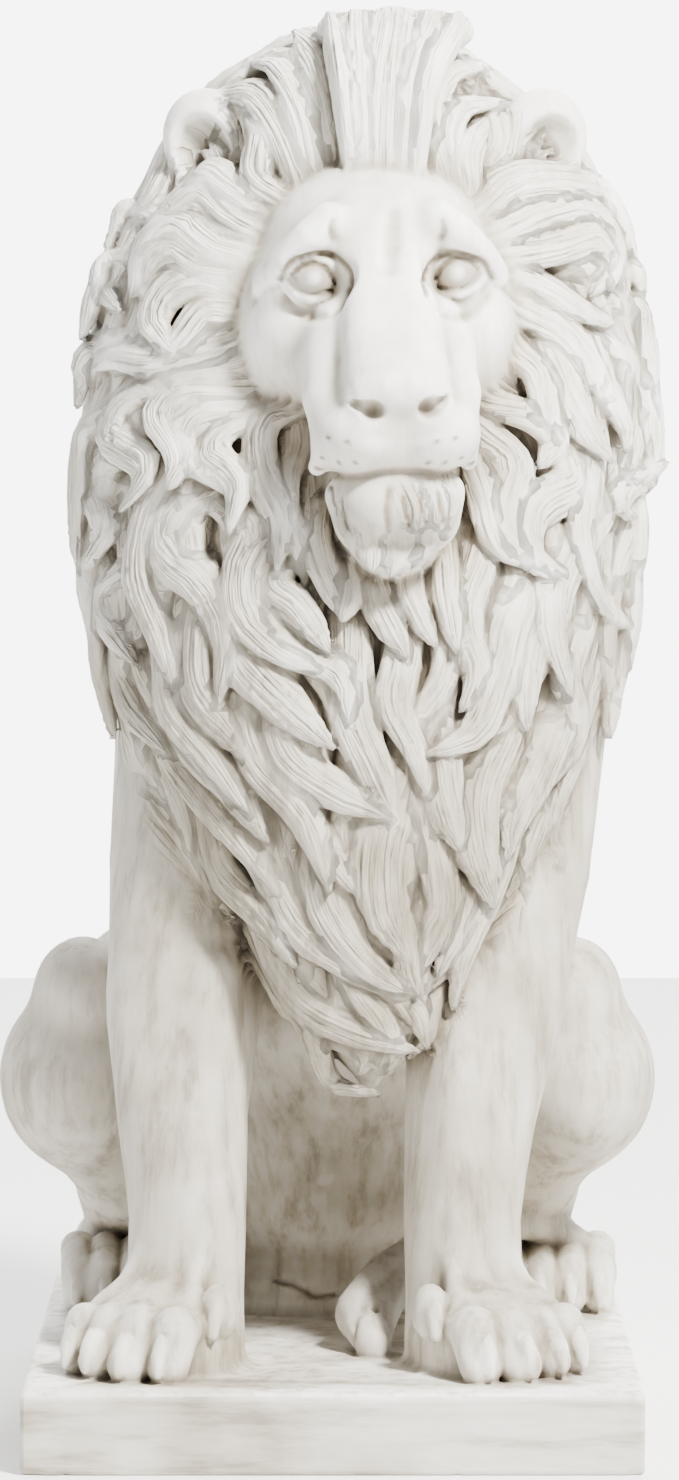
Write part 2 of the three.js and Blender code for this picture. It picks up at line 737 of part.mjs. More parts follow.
function slabGeometry() {
  const half = { width: SLAB_WIDTH / 2, depth: SLAB_DEPTH / 2 };
  const edge = SLAB_EDGE_RADIUS;
  const outline = new THREE.Shape()
    .moveTo(edge - half.width, edge - half.depth)
    .lineTo(half.width - edge, edge - half.depth)
    .lineTo(half.width - edge, half.depth - edge)
    .lineTo(edge - half.width, half.depth - edge)
    .closePath();
  return new THREE.ExtrudeGeometry(outline, {
    depth: SLAB_HEIGHT - 2 * edge,
    bevelThickness: edge,
    bevelSize: edge,
    bevelSegments: 2,
    steps: 1,
  }).translate(0, 0, edge);
}

const wasm = await Module();
wasm.setup();

function solidOf(geometry) {
  const bare = geometry.index ? geometry.toNonIndexed() : geometry.clone();
  bare.deleteAttribute("normal");
  bare.deleteAttribute("uv");
  const merged = mergeVertices(bare, 1e-4);
  return new wasm.Manifold(
    new wasm.Mesh({
      numProp: 3,
      vertProperties: merged.attributes.position.array,
      triVerts: new Uint32Array(merged.index.array),
    }),
  );
}

function geometryOf(solid) {
  const mesh = solid.getMesh();
  return new THREE.BufferGeometry()
    .setAttribute("position", new THREE.BufferAttribute(mesh.vertProperties, 3))
    .setIndex(new THREE.BufferAttribute(mesh.triVerts, 1));
}

function lionGeometry() {
  const skin = skinOf(modelLion(), -CAST_OVERLAP / SCALE);
  const corners = new Faceting(skin).reduceTo(LION_FACETS);
  return new THREE.BufferGeometry()
    .setAttribute("position", new THREE.Float32BufferAttribute(corners, 3))
    .scale(SCALE, SCALE, SCALE)
    .translate(0, 0, SLAB_HEIGHT);
}

const castStone = new THREE.MeshStandardMaterial({ color: 0xdedcd6, roughness: 0.62, metalness: 0 });

const statue = new THREE.Mesh(
  geometryOf(solidOf(lionGeometry()).add(solidOf(slabGeometry()))),
  castStone,
);
statue.name = "lion_statue";

const group = new THREE.Group();
group.add(statue);

export default group;
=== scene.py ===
"""The looks of a seated lion in cast stone, modelled like clay: forms pressed into a field of
distances and carved out of it, then skinned, thinned, washed and given painted shade.

Sizes are millimetres. The figure's frame has x to the viewer's right, y away from the viewer and
z up from the top of the slab.
"""

import math

import bpy
import numpy as np
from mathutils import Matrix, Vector


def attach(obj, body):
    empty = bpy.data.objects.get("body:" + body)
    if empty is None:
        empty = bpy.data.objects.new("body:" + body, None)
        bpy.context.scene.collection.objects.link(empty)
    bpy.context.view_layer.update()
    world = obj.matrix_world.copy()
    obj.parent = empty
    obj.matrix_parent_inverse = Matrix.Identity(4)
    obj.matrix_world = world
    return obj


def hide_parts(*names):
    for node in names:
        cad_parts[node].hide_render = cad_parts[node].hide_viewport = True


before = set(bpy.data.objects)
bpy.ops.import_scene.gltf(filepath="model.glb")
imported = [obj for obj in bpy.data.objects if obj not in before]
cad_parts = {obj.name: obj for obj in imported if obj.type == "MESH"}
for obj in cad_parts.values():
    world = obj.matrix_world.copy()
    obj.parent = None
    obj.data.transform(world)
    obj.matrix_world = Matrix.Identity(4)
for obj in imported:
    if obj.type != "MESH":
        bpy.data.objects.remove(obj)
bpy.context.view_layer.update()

# The casting's sizes, the same as the solid's.
SLAB_WIDTH = 300
SLAB_DEPTH = 400
SLAB_HEIGHT = 40
SLAB_EDGE_RADIUS = 1.5
CELL = 1.5  # spacing of the points that the clay is worked at
MOST_TRIANGLES = 198000
LEFT, RIGHT = -1, 1
COMB = 5.2  # from strand to strand across a lock
GROOVE = 1.5  # how deep the comb goes
STRAND = 2.6  # from one fine strand of the finish to the next

chance = np.random.RandomState(11)


def smoothstep(low, high, v):
    """Rises from 0 at low to 1 at high with level ends."""
    t = np.clip((v - low) / (high - low), 0, 1)
    return t * t * (3 - 2 * t)


def turned(origin, yaw=0, pitch=0, roll=0):
    """A frame at an origin, turned by yaw about z, then pitch about x, then roll about y, in degrees."""
    a, b, c = np.radians([yaw, pitch, roll])
    about_z = np.array([[math.cos(a), -math.sin(a), 0], [math.sin(a), math.cos(a), 0], [0, 0, 1]])
    about_x = np.array([[1, 0, 0], [0, math.cos(b), -math.sin(b)], [0, math.sin(b), math.cos(b)]])
    about_y = np.array([[math.cos(c), 0, math.sin(c)], [0, 1, 0], [-math.sin(c), 0, math.cos(c)]])
    place = np.eye(4)
    place[:3, :3] = about_z @ about_x @ about_y
    place[:3, 3] = origin
    return place


def between(p0, p1, p2, p3, t):
    """The cubic from p1 to p2 at a share t of the way, with slopes from the points on each side."""
    rise, fall, step = (p2 - p0) / 2, (p3 - p1) / 2, p2 - p1
    return p1 + t * (rise + t * (3 * step - 2 * rise - fall + t * (rise + fall - 2 * step)))


ON_SLAB = turned((0, 0, 0))


def egg(centre, radii, place=ON_SLAB, turn=(0, 0, 0)):
    """An ellipsoid. Its distance is q (q - 1) / |grad q|, where q is 1 on the skin."""
    seat = place @ turned(centre, *turn)
    inward = np.linalg.inv(seat)[:3]
    a, b, c = radii
    reach = np.sqrt(((seat[:3, :3] * radii) ** 2).sum(axis=1))
    middle = seat[:3, 3]

    def distance(x, y, z):
        px, py, pz = (row[0] * x + row[1] * y + row[2] * z + row[3] for row in inward)
        near = np.sqrt((px / a) ** 2 + (py / b) ** 2 + (pz / c) ** 2)
        steep = np.sqrt((px / a**2) ** 2 + (py / b**2) ** 2 + (pz / c**2) ** 2)
        return near * (near - 1) / np.maximum(steep, 1e-6)

    return middle - reach, middle + reach, distance


def limb(knots, place=ON_SLAB):
    """A chain of balls (x, y, z, radius) joined by cones: the distance to the nearest point of the
    middle line, less the radius there."""
    knots = np.array(knots, float)
    balls = knots[:, :3] @ place[:3, :3].T + place[:3, 3]
    radius = knots[:, 3]

    def distance(x, y, z):
        nearest = np.inf
        for (ax, ay, az), (bx, by, bz), ar, br in zip(balls, balls[1:], radius, radius[1:]):
            dx, dy, dz = bx - ax, by - ay, bz - az
            along = (x - ax) * dx + (y - ay) * dy + (z - az) * dz
            t = np.clip(along / (dx * dx + dy * dy + dz * dz), 0, 1)
            away = np.sqrt((x - ax - t * dx) ** 2 + (y - ay - t * dy) ** 2 + (z - az - t * dz) ** 2)
            nearest = np.minimum(nearest, away - ar - (br - ar) * t)
        return nearest

    return (balls - radius[:, None]).min(axis=0), (balls + radius[:, None]).max(axis=0), distance


def slab():
    """A block with rounded edges: the distance to the block that the edge radius is rolled round."""
    half = np.array([SLAB_WIDTH, SLAB_DEPTH, SLAB_HEIGHT]) / 2
    core = half - SLAB_EDGE_RADIUS

    def distance(x, y, z):
        gaps = [np.abs(v) - c for v, c in zip((x, y, z + half[2]), core)]
        outside = np.sqrt(sum(np.maximum(g, 0) ** 2 for g in gaps))
        inside = np.minimum(np.maximum(np.maximum(gaps[0], gaps[1]), gaps[2]), 0)
        return outside + inside - SLAB_EDGE_RADIUS

    return np.array([-half[0], -half[1], -2 * half[2]]), np.array([half[0], half[1], 0]), distance


def joined(a, b, fillet):
    """The nearer of two distances, with a fillet where they are alike."""
    overlap = np.maximum(fillet - np.abs(a - b), 0)
    return np.minimum(a, b) - overlap * overlap / (4 * fillet)


def strand_share(nearest, second):
    """How much the strands show, from the distances to the two nearest locks: they fade within 5 mm
    of where the two are alike, and from 2 to 7 mm off the lock."""
    return np.clip((second - nearest) / 5, 0, 1) * np.clip((7 - nearest) / 5, 0, 1)


class Clay:
    """Distances to the skin on a grid of points, below zero inside."""

    def __init__(self, low, high, cell):
        self.low = np.array(low, float)
        self.cell = cell
        count = np.ceil((np.array(high) - low) / cell).astype(int) + 1
        self.depth = np.full(count, 1e3, np.float32)
        self.painted_shades = []

    def window(self, low, high, spare):
        """The part of the grid round a form, and the x, y and z of its points."""
        first = np.maximum(np.floor((low - spare - self.low) / self.cell), 0).astype(int)
        last = np.minimum(np.ceil((high + spare - self.low) / self.cell) + 1, self.depth.shape).astype(int)
        last = np.maximum(last, first)
        part = tuple(slice(a, b) for a, b in zip(first, last))
        at = [self.low[n] + self.cell * np.arange(first[n], last[n]) for n in range(3)]
        at = [v.astype(np.float32).reshape([-1 if m == n else 1 for m in range(3)]) for n, v in enumerate(at)]
        return part, at

    def press(self, form, fillet=6):
        """Adds a form: the clay is joined with it, with a fillet where they meet."""
        low, high, distance = form
        part, at = self.window(low, high, fillet + 2 * self.cell)
        self.depth[part] = joined(self.depth[part], distance(*at), fillet)

    def carve(self, form, fillet=3):
        """Takes a form away: the space round the clay is joined with the form, with a fillet."""
        low, high, distance = form
        part, at = self.window(low, high, fillet + 2 * self.cell)
        self.depth[part] = -joined(-self.depth[part], distance(*at), fillet)

    def scratch(self, form, fillet=1.0):
        """A carved line, with painted shade laid along it."""
        self.carve(form, fillet)
        self.paint_shade(form, 1, 1.4)

    def paint_shade(self, form, share, reach):
        """Painted shade lies on the skin in a form, and fades out over a reach beyond it."""
        self.painted_shades.append((*form, share, reach))

    def refine(self):
        """Halves the spacing: each new point between two old ones takes their mean."""
        field = self.depth
        for axis in range(3):
            rows = np.moveaxis(field, axis, 0)
            finer = np.empty((2 * len(rows) - 1, *rows.shape[1:]), np.float32)
            finer[::2] = rows
            finer[1::2] = (rows[1:] + rows[:-1]) / 2
            field = np.moveaxis(finer, 0, axis)
        self.depth = np.ascontiguousarray(field)
        self.cell /= 2
        self.nearest = np.full(field.shape, 1e3, np.float32)
        self.second = np.full(field.shape, 1e3, np.float32)
        self.strand = np.zeros(field.shape, np.float32)
        self.length = np.zeros(field.shape, np.float32)

    def comb(self, width, groove):
        """Cuts the locks into strands: the skin rises and falls with the cosine of the place across
        the lock, less where two locks meet."""
        for x in range(0, len(self.depth), 32):
            part = slice(x, x + 32)
            strands = np.cos(2 * np.pi / width * self.strand[part])
            self.depth[part] -= groove / 2 * strands * strand_share(self.nearest[part], self.second[part])

    def front(self, x, z):
        """The y of the first skin met from the front at each x and z."""
        i = np.rint((np.asarray(x) - self.low[0]) / self.cell).astype(int)
        k = np.rint((np.asarray(z) - self.low[2]) / self.cell).astype(int)
        columns = self.depth[i, :, k]
        first = np.argmax(columns < 0, axis=1)
        rows = np.arange(len(first))
        outer, inner = columns[rows, first - 1], columns[rows, first]
        return self.low[1] + self.cell * (first - inner / (inner - outer))

    def skin(self):
        """Points and four-cornered faces of the skin. Each cell that the skin runs through gets one
        point, the mean of the places where the cell's edges are crossed, and each crossed edge of
        the grid gets a face between the four cells round it."""
        inside = self.depth < 0
        nx, ny, nz = inside.shape
        corner = [(i, j, k) for i in (0, 1) for j in (0, 1) for k in (0, 1)]
        filled = np.zeros((nx - 1, ny - 1, nz - 1), np.uint8)
        for i, j, k in corner:
            filled += inside[i : nx - 1 + i, j : ny - 1 + j, k : nz - 1 + k]
        crossed = np.flatnonzero((filled > 0) & (filled < 8))
        place = np.stack(np.unravel_index(crossed, filled.shape), axis=1)
        value = [self.depth[tuple((place + c).T)] for c in corner]
        total = np.zeros((len(place), 3))
        times = np.zeros(len(place))
        for m, a in enumerate(corner):
            for n in range(m + 1, 8):
                b = corner[n]
                if sum(abs(p - q) for p, q in zip(a, b)) != 1:
                    continue
                cut = (value[m] < 0) != (value[n] < 0)
                t = np.where(cut, value[m] / np.where(cut, value[m] - value[n], 1), 0)
                total += cut[:, None] * (np.array(a) + t[:, None] * (np.array(b) - a))
                times += cut
        points = self.low + self.cell * (place + total / times[:, None])
        number = np.full(filled.shape, -1, np.int32)
        number.reshape(-1)[crossed] = np.arange(len(crossed))
        faces = []
        for axis in range(3):
            solid = np.moveaxis(inside, [axis, (axis + 1) % 3, (axis + 2) % 3], [0, 1, 2])
            cells = np.moveaxis(number, [axis, (axis + 1) % 3, (axis + 2) % 3], [0, 1, 2])
            start = solid[:-1, 1:-1, 1:-1]
            i, j, k = np.nonzero(start != solid[1:, 1:-1, 1:-1])
            ring = np.stack([cells[i, j, k], cells[i, j + 1, k], cells[i, j + 1, k + 1],
                             cells[i, j, k + 1]], axis=1)
            outward = start[i, j, k]
            faces.append(np.where(outward[:, None], ring, ring[:, ::-1]))
        return points, np.concatenate(faces)

    def sample(self, field, points):
        """A field of the grid at any points, by weighing the eight grid points round each."""
        place = np.clip((points - self.low) / self.cell, 0, np.array(field.shape) - 1.001)
        base = np.floor(place).astype(int)
        share = place - base
        total = np.zeros(len(points))
        for i in (0, 1):
            for j in (0, 1):
                for k in (0, 1):
                    weight = np.prod(np.where([i, j, k], share, 1 - share), axis=1)
                    total += weight * field[tuple((base + (i, j, k)).T)]
        return total

    def outward(self, points):
        """The way out of the clay at points: how its distances rise over a cell each way."""
        slope = [self.sample(self.depth, points + step) - self.sample(self.depth, points - step)
                 for step in self.cell * np.eye(3)]
        slope = np.stack(slope, axis=1)
        return slope / np.maximum(np.linalg.norm(slope, axis=1, keepdims=True), 1e-9)


def lean(z):
    """The lion leans a little to its left above the elbows."""
    return -4 + 19 * smoothstep(90, 340, z)


def press_torso(clay):
    """The trunk: a limb from the breast down to the rump, the belly, its foot and the shoulders."""
    clay.press(limb([(12, -18, 330, 88), (9, 28, 240, 82), (3, 82, 150, 82), (0, 110, 96, 78)]), 20)
    clay.press(egg((0, 112, 84), (96, 78, 92)), 24)
    clay.press(limb([(0, 126, 100, 66), (0, 134, -10, 58)]), 24)
    clay.press(egg((-6, 116, -4), (80, 76, 62)), 8)
    for side in (LEFT, RIGHT):
        clay.press(egg((side * 44, 60, 300), (40, 48, 70)), 24)


def press_haunch(clay, side):
    """A haunch: the thigh, the knee and the calf below it, then the shin and the long hind foot."""
    def x(out):
        return side * out - 3

    clay.press(egg((x(96), 94, 118), (46, 84, 82), turn=(side * -6, 12, side * 4)), 16)
    clay.press(egg((x(125), 24, 169), (26, 37, 30), turn=(side * -4, 0, 0)), 12)
    clay.press(egg((x(129), 41, 125), (40, 59, 47)), 12)
    clay.press(limb([(x(122), 20, 124, 34), (x(108), 62, 72, 23), (x(104), 124, 38, 24)]), 12)
    clay.press(limb([(x(114), 146, 22, 22), (x(114), 96, 16, 20), (x(117), 62, 13, 19)]), 10)


def press_hind_toes(clay, side):
    """Four toes bend down to the slab, each further out one further back, with a claw before it."""
    bent = ((80, 20, 10), (58, 31, 9.5), (43, 24, 8.6), (39, 8, 8))
    claw = ((36, 20, 3.6), (30, 14, 3.2), (29, 5, 1.8))
    tucked_in = 11 if side == LEFT else 0
    for toe, out in enumerate((94, 110, 126, 141)):
        x = side * (out - tucked_in) - 3
        back = 5 * toe
        clay.press(limb([(x, y + back, z, r) for y, z, r in bent]), 1.5)
        clay.press(limb([(x, y + back, z, r) for y, z, r in claw]), 1.2)


def press_foreleg(clay, side):
    """A straight foreleg from the shoulder to the paw. Its knots are (outwards, y, z, radius)."""
    def leg(*knots):
        return limb([(lean(z) + side * out, y, z, r) for out, y, z, r in knots])

    clay.press(leg((72, -16, 308, 52), (75, -36, 242, 46), (75, -58, 180, 39), (71, -80, 120, 32),
                   (68, -92, 70, 29), (69, -99, 34, 29), (70, -104, 8, 30)), 16)
    clay.press(leg((80, -14, 215, 26), (74, -44, 160, 24)), 16)
    # The long muscle down the outside and the shin's edge down the front.
    clay.press(limb([(lean(230) + side * 92, -52, 230, 14), (lean(170) + side * 96, -72, 168, 13),
                     (lean(110) + side * 86, -92, 108, 9)]), 14)
    clay.press(limb([(lean(190) + side * 62, -88, 190, 10), (lean(120) + side * 64, -106, 116, 8),
                     (lean(60) + side * 66, -114, 60, 7)]), 12)


def mark_belly(clay):
    """The belly's crack above the slab with painted shade along it, painted shade over the belly in its
    recess, and the nub in its middle.
    """
    clay.scratch(traced(clay, [(-30, 17, 0.8), (-20, 15, 1), (-9, 10, 1), (2, 11, 0.7)]), 1.2)
    clay.paint_shade(egg((5, 80, 150), (70, 80, 95)), 0.3, 20)
    clay.press(traced(clay, [(-7, 82, 4), (-5, 75, 5)], -2, 4), 3)


def press_forepaw(clay, side):
    """A forepaw turns outwards. Four toes fan out from the knuckles, each with a tendon up the paw,
    a claw and a fold of skin over it, and a fifth claw hangs on the inside. A toe's knots hold
    x as a share of how far out the toe is."""
    paw = turned((lean(0) + side * 69, -102, 0), side * 29)
    clay.press(egg((0, -24, 12), (37, 44, 30), paw), 8)
    clay.press(egg((0, -14, -2), (42, 44, 8), paw), 6)
    for out, reach, thick in zip((-25, -7, 11, 26), (61, 67, 65, 58), (12, 12, 11, 10)):
        tendon = ((0.55, -12, 58, 4), (0.75, -24, 40, 5), (0.9, -38, 30, 7))
        toe = ((0.95, -42, 24, thick - 1), (1, -52, 24, thick), (1.04, -reach, 8, thick - 1.5))
        claw = ((1.04, -reach - 4, 21, 4.6), (1.05, -reach - 9, 14, 4), (1.06, -reach - 11, 5, 2))
        for knots, fillet in ((tendon, 6), (toe, 2), (claw, 1.2)):
            clay.press(limb([(side * out * share, y, z, r) for share, y, z, r in knots], paw), fillet)
        tip = side * out * 1.04
        # Painted shade where the toe's tip meets the slab.
        clay.paint_shade(limb([(tip - 9, -reach, 4, 3), (tip + 9, -reach, 4, 3)], paw), 0.5, 6)
        fold = ((tip - 5, -reach - 7, 20, 1.1), (tip, -reach - 4, 25, 1.1), (tip + 5, -reach - 7, 20, 1.1))
        clay.carve(limb(fold, paw), 1.5)
    clay.press(egg((side * -33, -24, 30), (9, 11, 14), paw), 2)
    clay.press(limb([(side * -36, -33, 32, 4.5), (side * -37, -37, 20, 3)], paw), 1.5)


def press_tail(clay):
    """The tail: a limb along a smooth route from the rump round the hind foot and under the chest,
    and a combed tuft at its end."""
    route = smooth_path([(18, 176, 66), (62, 184, 30), (106, 172, 14), (134, 138, 11), (140, 102, 12),
                         (136, 76, 24), (114, 64, 42), (86, 40, 50), (62, 2, 48), (42, -30, 42)], 30)
    thick = np.interp(np.linspace(0, 1, 30), [0, 0.15, 0.4, 1], [14, 12.5, 9.5, 9])
    clay.press(limb(np.column_stack([route, thick])), 4)
    clay.press(limb([(40, -34, 44, 9), (28, -50, 34, 13), (17, -66, 18, 16), (20, -88, 6, 9)]), 5)
    # Painted shade over the tuft.
    clay.paint_shade(limb([(34, -44, 40, 14), (18, -66, 20, 18), (20, -88, 6, 10)]), 0.5, 12)
    for across in (-7, 0, 7):
        root = (36 + 0.5 * across, -58, 40, 1)
        middle = (22 + across, -78 + 0.3 * across, 26, 1.4)
        tip = (17 + 0.9 * across, -86, 8, 1)
        clay.carve(limb([root, middle, tip]), 4)


# The head is worked in its own frame: it turns a little to the lion's left.
HEAD = turned((18.5, -50, 520), 6, 0, -2)


def head_limb(side, *knots):
    """A limb on one side of the head; its knots are (outwards, y, z, radius)."""
    return limb([(side * out, y, z, r) for out, y, z, r in knots], HEAD)


def press_head(clay):
    """The skull, brow, bridge of the nose, muzzle, cheeks and chin, without their fine carving."""
    clay.press(egg((0, 2, 4), (66, 72, 74), HEAD), 10)
    clay.press(egg((0, -34, 34), (48, 40, 36), HEAD), 16)
    for side in (LEFT, RIGHT):
        clay.press(head_limb(side, (9, -60, 36, 16), (8.5, -84, 6, 15.5), (9.5, -104, -28, 15.5)), 11)
    clay.press(egg((0, -106, -38), (26, 21, 18), HEAD), 6)
    clay.press(egg((0, -72, -50), (33, 46, 31), HEAD), 8)
    for side in (LEFT, RIGHT):
        clay.press(egg((side * 18, -93, -61), (23, 30, 20), HEAD), 7)
        clay.press(egg((side * 42, -30, -8), (25, 35, 37), HEAD), 13)
        clay.press(egg((side * 29, -58, -26), (16, 25, 24), HEAD), 12)
    clay.press(egg((0, -62, -106), (27, 34, 30), HEAD), 6)


def traced(clay, knots, rise=0.0, count=14):
    """A limb drawn on the front of the clay, smooth through (x, z, radius), with its middle line
    so far out from the skin."""
    path = smooth_path(knots, count)
    y = clay.front(path[:, 0], path[:, 1])
    return limb(np.stack([path[:, 0], y - rise, path[:, 1], path[:, 2]], axis=1))


EYE_MIDDLE, EYE_APART, EYE_HEIGHT = 26.6, 35, 534.5  # of the pair, on the lion's face
EYE_UP = 17  # above the middle of the skull
EYE_RADIUS = 14
LID_RADIUS = 14.6


def carve_eye(clay, side):
    """An eyeball in its socket between two lids. Places round it are (outwards, up, radius), either
    laid on the face or on a ball a little larger than the eye."""
    def on_face(*knots):
        return [(EYE_MIDDLE + side * (EYE_APART + out), EYE_HEIGHT + up, r) for out, up, r in knots]

    def on_ball(*knots):
        return limb([(side * (EYE_APART + out), -61 - math.sqrt(max(LID_RADIUS**2 - out**2 - up**2, 9)),
                      EYE_UP + up, r) for out, up, r in knots], HEAD)

    # The brow's ridge, the side of the nose and the socket.
    clay.press(head_limb(side, (54, -52, 15, 9), (46, -67, 25, 9), (36, -74, 35, 9), (27, -73, 43, 9)), 8)
    clay.press(head_limb(side, (24, -76, -7, 10), (27, -80, -24, 12), (29, -84, -42, 14)), 12)
    clay.carve(egg((side * 35.5, -86, 15), (17, 17, 12), HEAD), 6)
    clay.carve(head_limb(side, (24, -88, 24, 4), (20.5, -88, 13, 3), (23, -86, 3, 2.4)), 8)
    # The eyeball, the skin over and under it, and the rims of the lids.
    eyeball = egg((side * EYE_APART, -62, EYE_UP), (EYE_RADIUS, EYE_RADIUS, EYE_RADIUS), HEAD)
    clay.press(eyeball, 1)
    clay.press(on_ball((-10, 5.5, 2.6), (-4, 11.5, 2.8), (3, 13, 2.8), (10.5, 9.5, 2.6)), 2)
    clay.press(on_ball((-10, -12, 2.6), (0, -14, 3), (8, -12, 3), (13.5, -4, 2.4)), 2.5)
    clay.press(on_ball((-15, -9.5, 1.6), (-12, -2.5, 2), (-8.6, 4.6, 2.5), (-0.5, 8.8, 2.8),
                       (7.8, 7.2, 2.7), (14, 0.5, 2)), 0.4)
    clay.press(on_ball((-15, -9.5, 1.6), (-6, -11, 2.2), (1.5, -11.6, 2.5), (9, -8.8, 2.4),
                       (14, 0.5, 2)), 0.4)
    # The line under each lid, the iris, and the crease over the upper lid and under the lower.
    clay.scratch(on_ball((-11.5, -7, 0.9), (-9, -2, 1.1), (-5.5, 3.4, 1.3), (0, 5.8, 1.4),
                         (6, 4.2, 1.2), (10.5, 0.4, 0.8)), 0.4)
    clay.carve(on_ball((-11.5, -7, 0.8), (-4, -8.4, 0.9), (1.5, -9, 0.9), (7, -6.4, 0.8),
                       (10.5, 0.4, 0.7)), 0.4)
    clay.press(egg((side * EYE_APART, -69.8, EYE_UP - 1), (7, 7, 7), HEAD), 0.3)
    # Painted shade over the eyeball, set back under the lids and the brow.
    clay.paint_shade(eyeball, 0.8, 1.2)
    crease = on_face((17, -1, 1), (12, 7, 1.3), (5, 10.2, 1.4), (-2.5, 11.6, 1.3),
                     (-9, 10.2, 1.3), (-15, 5, 1.4), (-17.5, -1.5, 1.4), (-16, -8.5, 0.9))
    clay.scratch(traced(clay, crease, count=26), 2)
    clay.carve(traced(clay, on_face((15, -10, 1), (8, -17, 1.6), (-1, -19, 1.8), (-9, -17, 1.2))), 4)
    # The notch over the inner brow, and the fold beside the eye.
    clay.scratch(traced(clay, on_face((-9, 18, 0.6), (-8, 22, 1.2), (-8.5, 27, 0.6))), 4)
    clay.carve(traced(clay, on_face((18, -4, 0.8), (25, -7, 1.2), (31, -12, 0.8))), 3)


def carve_nose(clay):
    """The nose: a broad pad with wings round comma-shaped nostrils, the jaw beside it, painted shade
    under it and over the lower half of the pads, and the furrow between the brows."""
    for side in (LEFT, RIGHT):
        clay.press(egg((side * 15, -110, -46), (10, 13, 10), HEAD), 4)
        clay.press(head_limb(side, (6, -121, -37, 7), (17, -116, -38, 6), (23, -105, -44, 4)), 3)
        # The jaw behind the lips, and the fold at their corner.
        clay.press(egg((side * 17, -54, -86), (13, 26, 20), HEAD), 8)
        clay.press(head_limb(side, (31, -95, -64, 7), (35, -86, -72, 5.5), (37, -78, -76, 4.5)), 6)
    clay.carve(egg((0, -138, -60), (26, 18, 16), HEAD), 2.5)
    # Painted shade under the nose, and over the lower half of the pads.
    clay.paint_shade(egg((0, -120, -55), (21, 11, 7), HEAD), 0.38, 7)
    clay.paint_shade(egg((0, -104, -74), (40, 26, 8), HEAD), 0.22, 14)
    for side in (LEFT, RIGHT):
        clay.carve(egg((side * 14, -124, -49), (7, 10, 5.6), HEAD, (0, 0, side * -24)), 1)
        clay.carve(head_limb(side, (8.5, -126, -53, 2.6), (15, -122, -49, 4.4), (22, -116, -45, 2.6)), 1)
    clay.carve(traced(clay, [(30, 566, 1), (29, 552, 2.4), (28, 538, 1)]), 7)


def carve_mouth(clay):
    """The lips part below the pads, in the shade of the upper one, over a shorter chin."""
    clay.press(egg((0, -99, -62), (20, 18, 17.5), HEAD), 6)
    clay.press(egg((0, -90, -84), (26, 18, 10), HEAD), 3)
    clay.press(head_limb(RIGHT, (-13, -86, -102, 18), (13, -86, -102, 18)), 4)
    clay.press(head_limb(RIGHT, (-25, -82, -90, 9), (-17, -94, -92, 10), (17, -94, -92, 10),
                         (25, -82, -90, 9)), 5)
    clay.press(head_limb(RIGHT, (-20, -86, -94, 11), (-12, -99, -97, 13), (12, -99, -97, 13),
                         (20, -86, -94, 11)), 6)
    for side in (LEFT, RIGHT):
        clay.scratch(head_limb(side, (0, -114, -81, 1.5), (12, -114, -82, 1.8), (21, -109, -83, 2.2),
                               (31, -99, -82, 2.8), (39, -87, -79, 3)), 1.2)
    # Painted shadow of the upper lip on the lower lip and the chin.
    clay.paint_shade(egg((-2, -96, -103), (28, 20, 14), HEAD), 0.46, 10)
    clay.carve(head_limb(RIGHT, (0, -128, -57, 0.8), (0, -125, -66, 1.2), (0, -123, -72, 0.8)), 4)
    clay.scratch(traced(clay, [(27, 432, 0.8), (26, 422, 1.4), (27, 411, 1)]), 3)


# The tufts of the chin: root across and up, tip across and up, width.
CHIN_TUFTS = ((8, 416, 13, 398, 11), (17, 411, 19, 393, 12), (27, 409, 28, 390, 12), (37, 411, 36, 393, 12),
              (46, 415, 42, 398, 11), (47, 433, 52, 413, 9), (38, 430, 41, 414, 9), (56, 434, 57, 418, 8))
CHIN_EDGE = 405  # below this the chin turns under, and the tufts hang free
# The two locks that hang beside the corner of the mouth: width, then places across and up.
MOUTH_LOCKS = ((15, (-21, 468), (-19, 452), (-23, 436), (-21, 420), (-15, 402)),
               (12, (-14, 434), (-13, 420), (-17, 404), (-13, 386)))


def press_chin_hair(clay):
    """Tufts laid on the chin, each along a smooth path on the skin in front, and two longer locks
    whose path is evened out by a mean of five."""
    for x0, z0, x1, z1, width in CHIN_TUFTS:
        path = smooth_path([(x0, z0), ((x0 + x1) / 2 + 1.5, (z0 + z1) / 2), (x1, z1)], 8)
        y = clay.front(path[:, 0], np.maximum(path[:, 1], CHIN_EDGE)) + 2
        path = np.stack([path[:, 0], y, path[:, 1]], axis=1)
        press_lock(clay, path, np.tile([0.0, -1, 0], (8, 1)), width, 6, 1)
    for width, *knots in MOUTH_LOCKS:
        path = smooth_path(knots, 10)
        y = np.pad(clay.front(path[:, 0], path[:, 1]), 2, mode="edge")
        y = np.convolve(y, np.ones(5) / 5, mode="valid") + 1
        path = np.stack([path[:, 0], y, path[:, 1]], axis=1)
        press_lock(clay, path, np.tile([-0.3, -0.95, 0], (10, 1)), width, 9, 2)


def carve_face(clay):
    """The face's fine forms: eyes, nose, lips and chin, its hair, and the whiskers' pits."""
    for side in (LEFT, RIGHT):
        carve_eye(clay, side)
    carve_nose(clay)
    carve_mouth(clay)
    press_chin_hair(clay)
    for x, z in ((43, 424), (52, 424), (35, 422), (5, 421), (0, 428)):
        clay.scratch(traced(clay, [(x - 1, z + 7, 0.5), (x, z, 0.9), (x + 2, z - 8, 0.6)], count=6), 1.5)
    for side in (LEFT, RIGHT):
        for out, z in ((17, 445), (25, 445), (33, 447), (21, 455), (30, 457)):
            x = 28.5 + side * out
            clay.scratch(traced(clay, [(x, z, 0.5), (x + side, z + 0.4, 0.5)], count=3), 0.6)


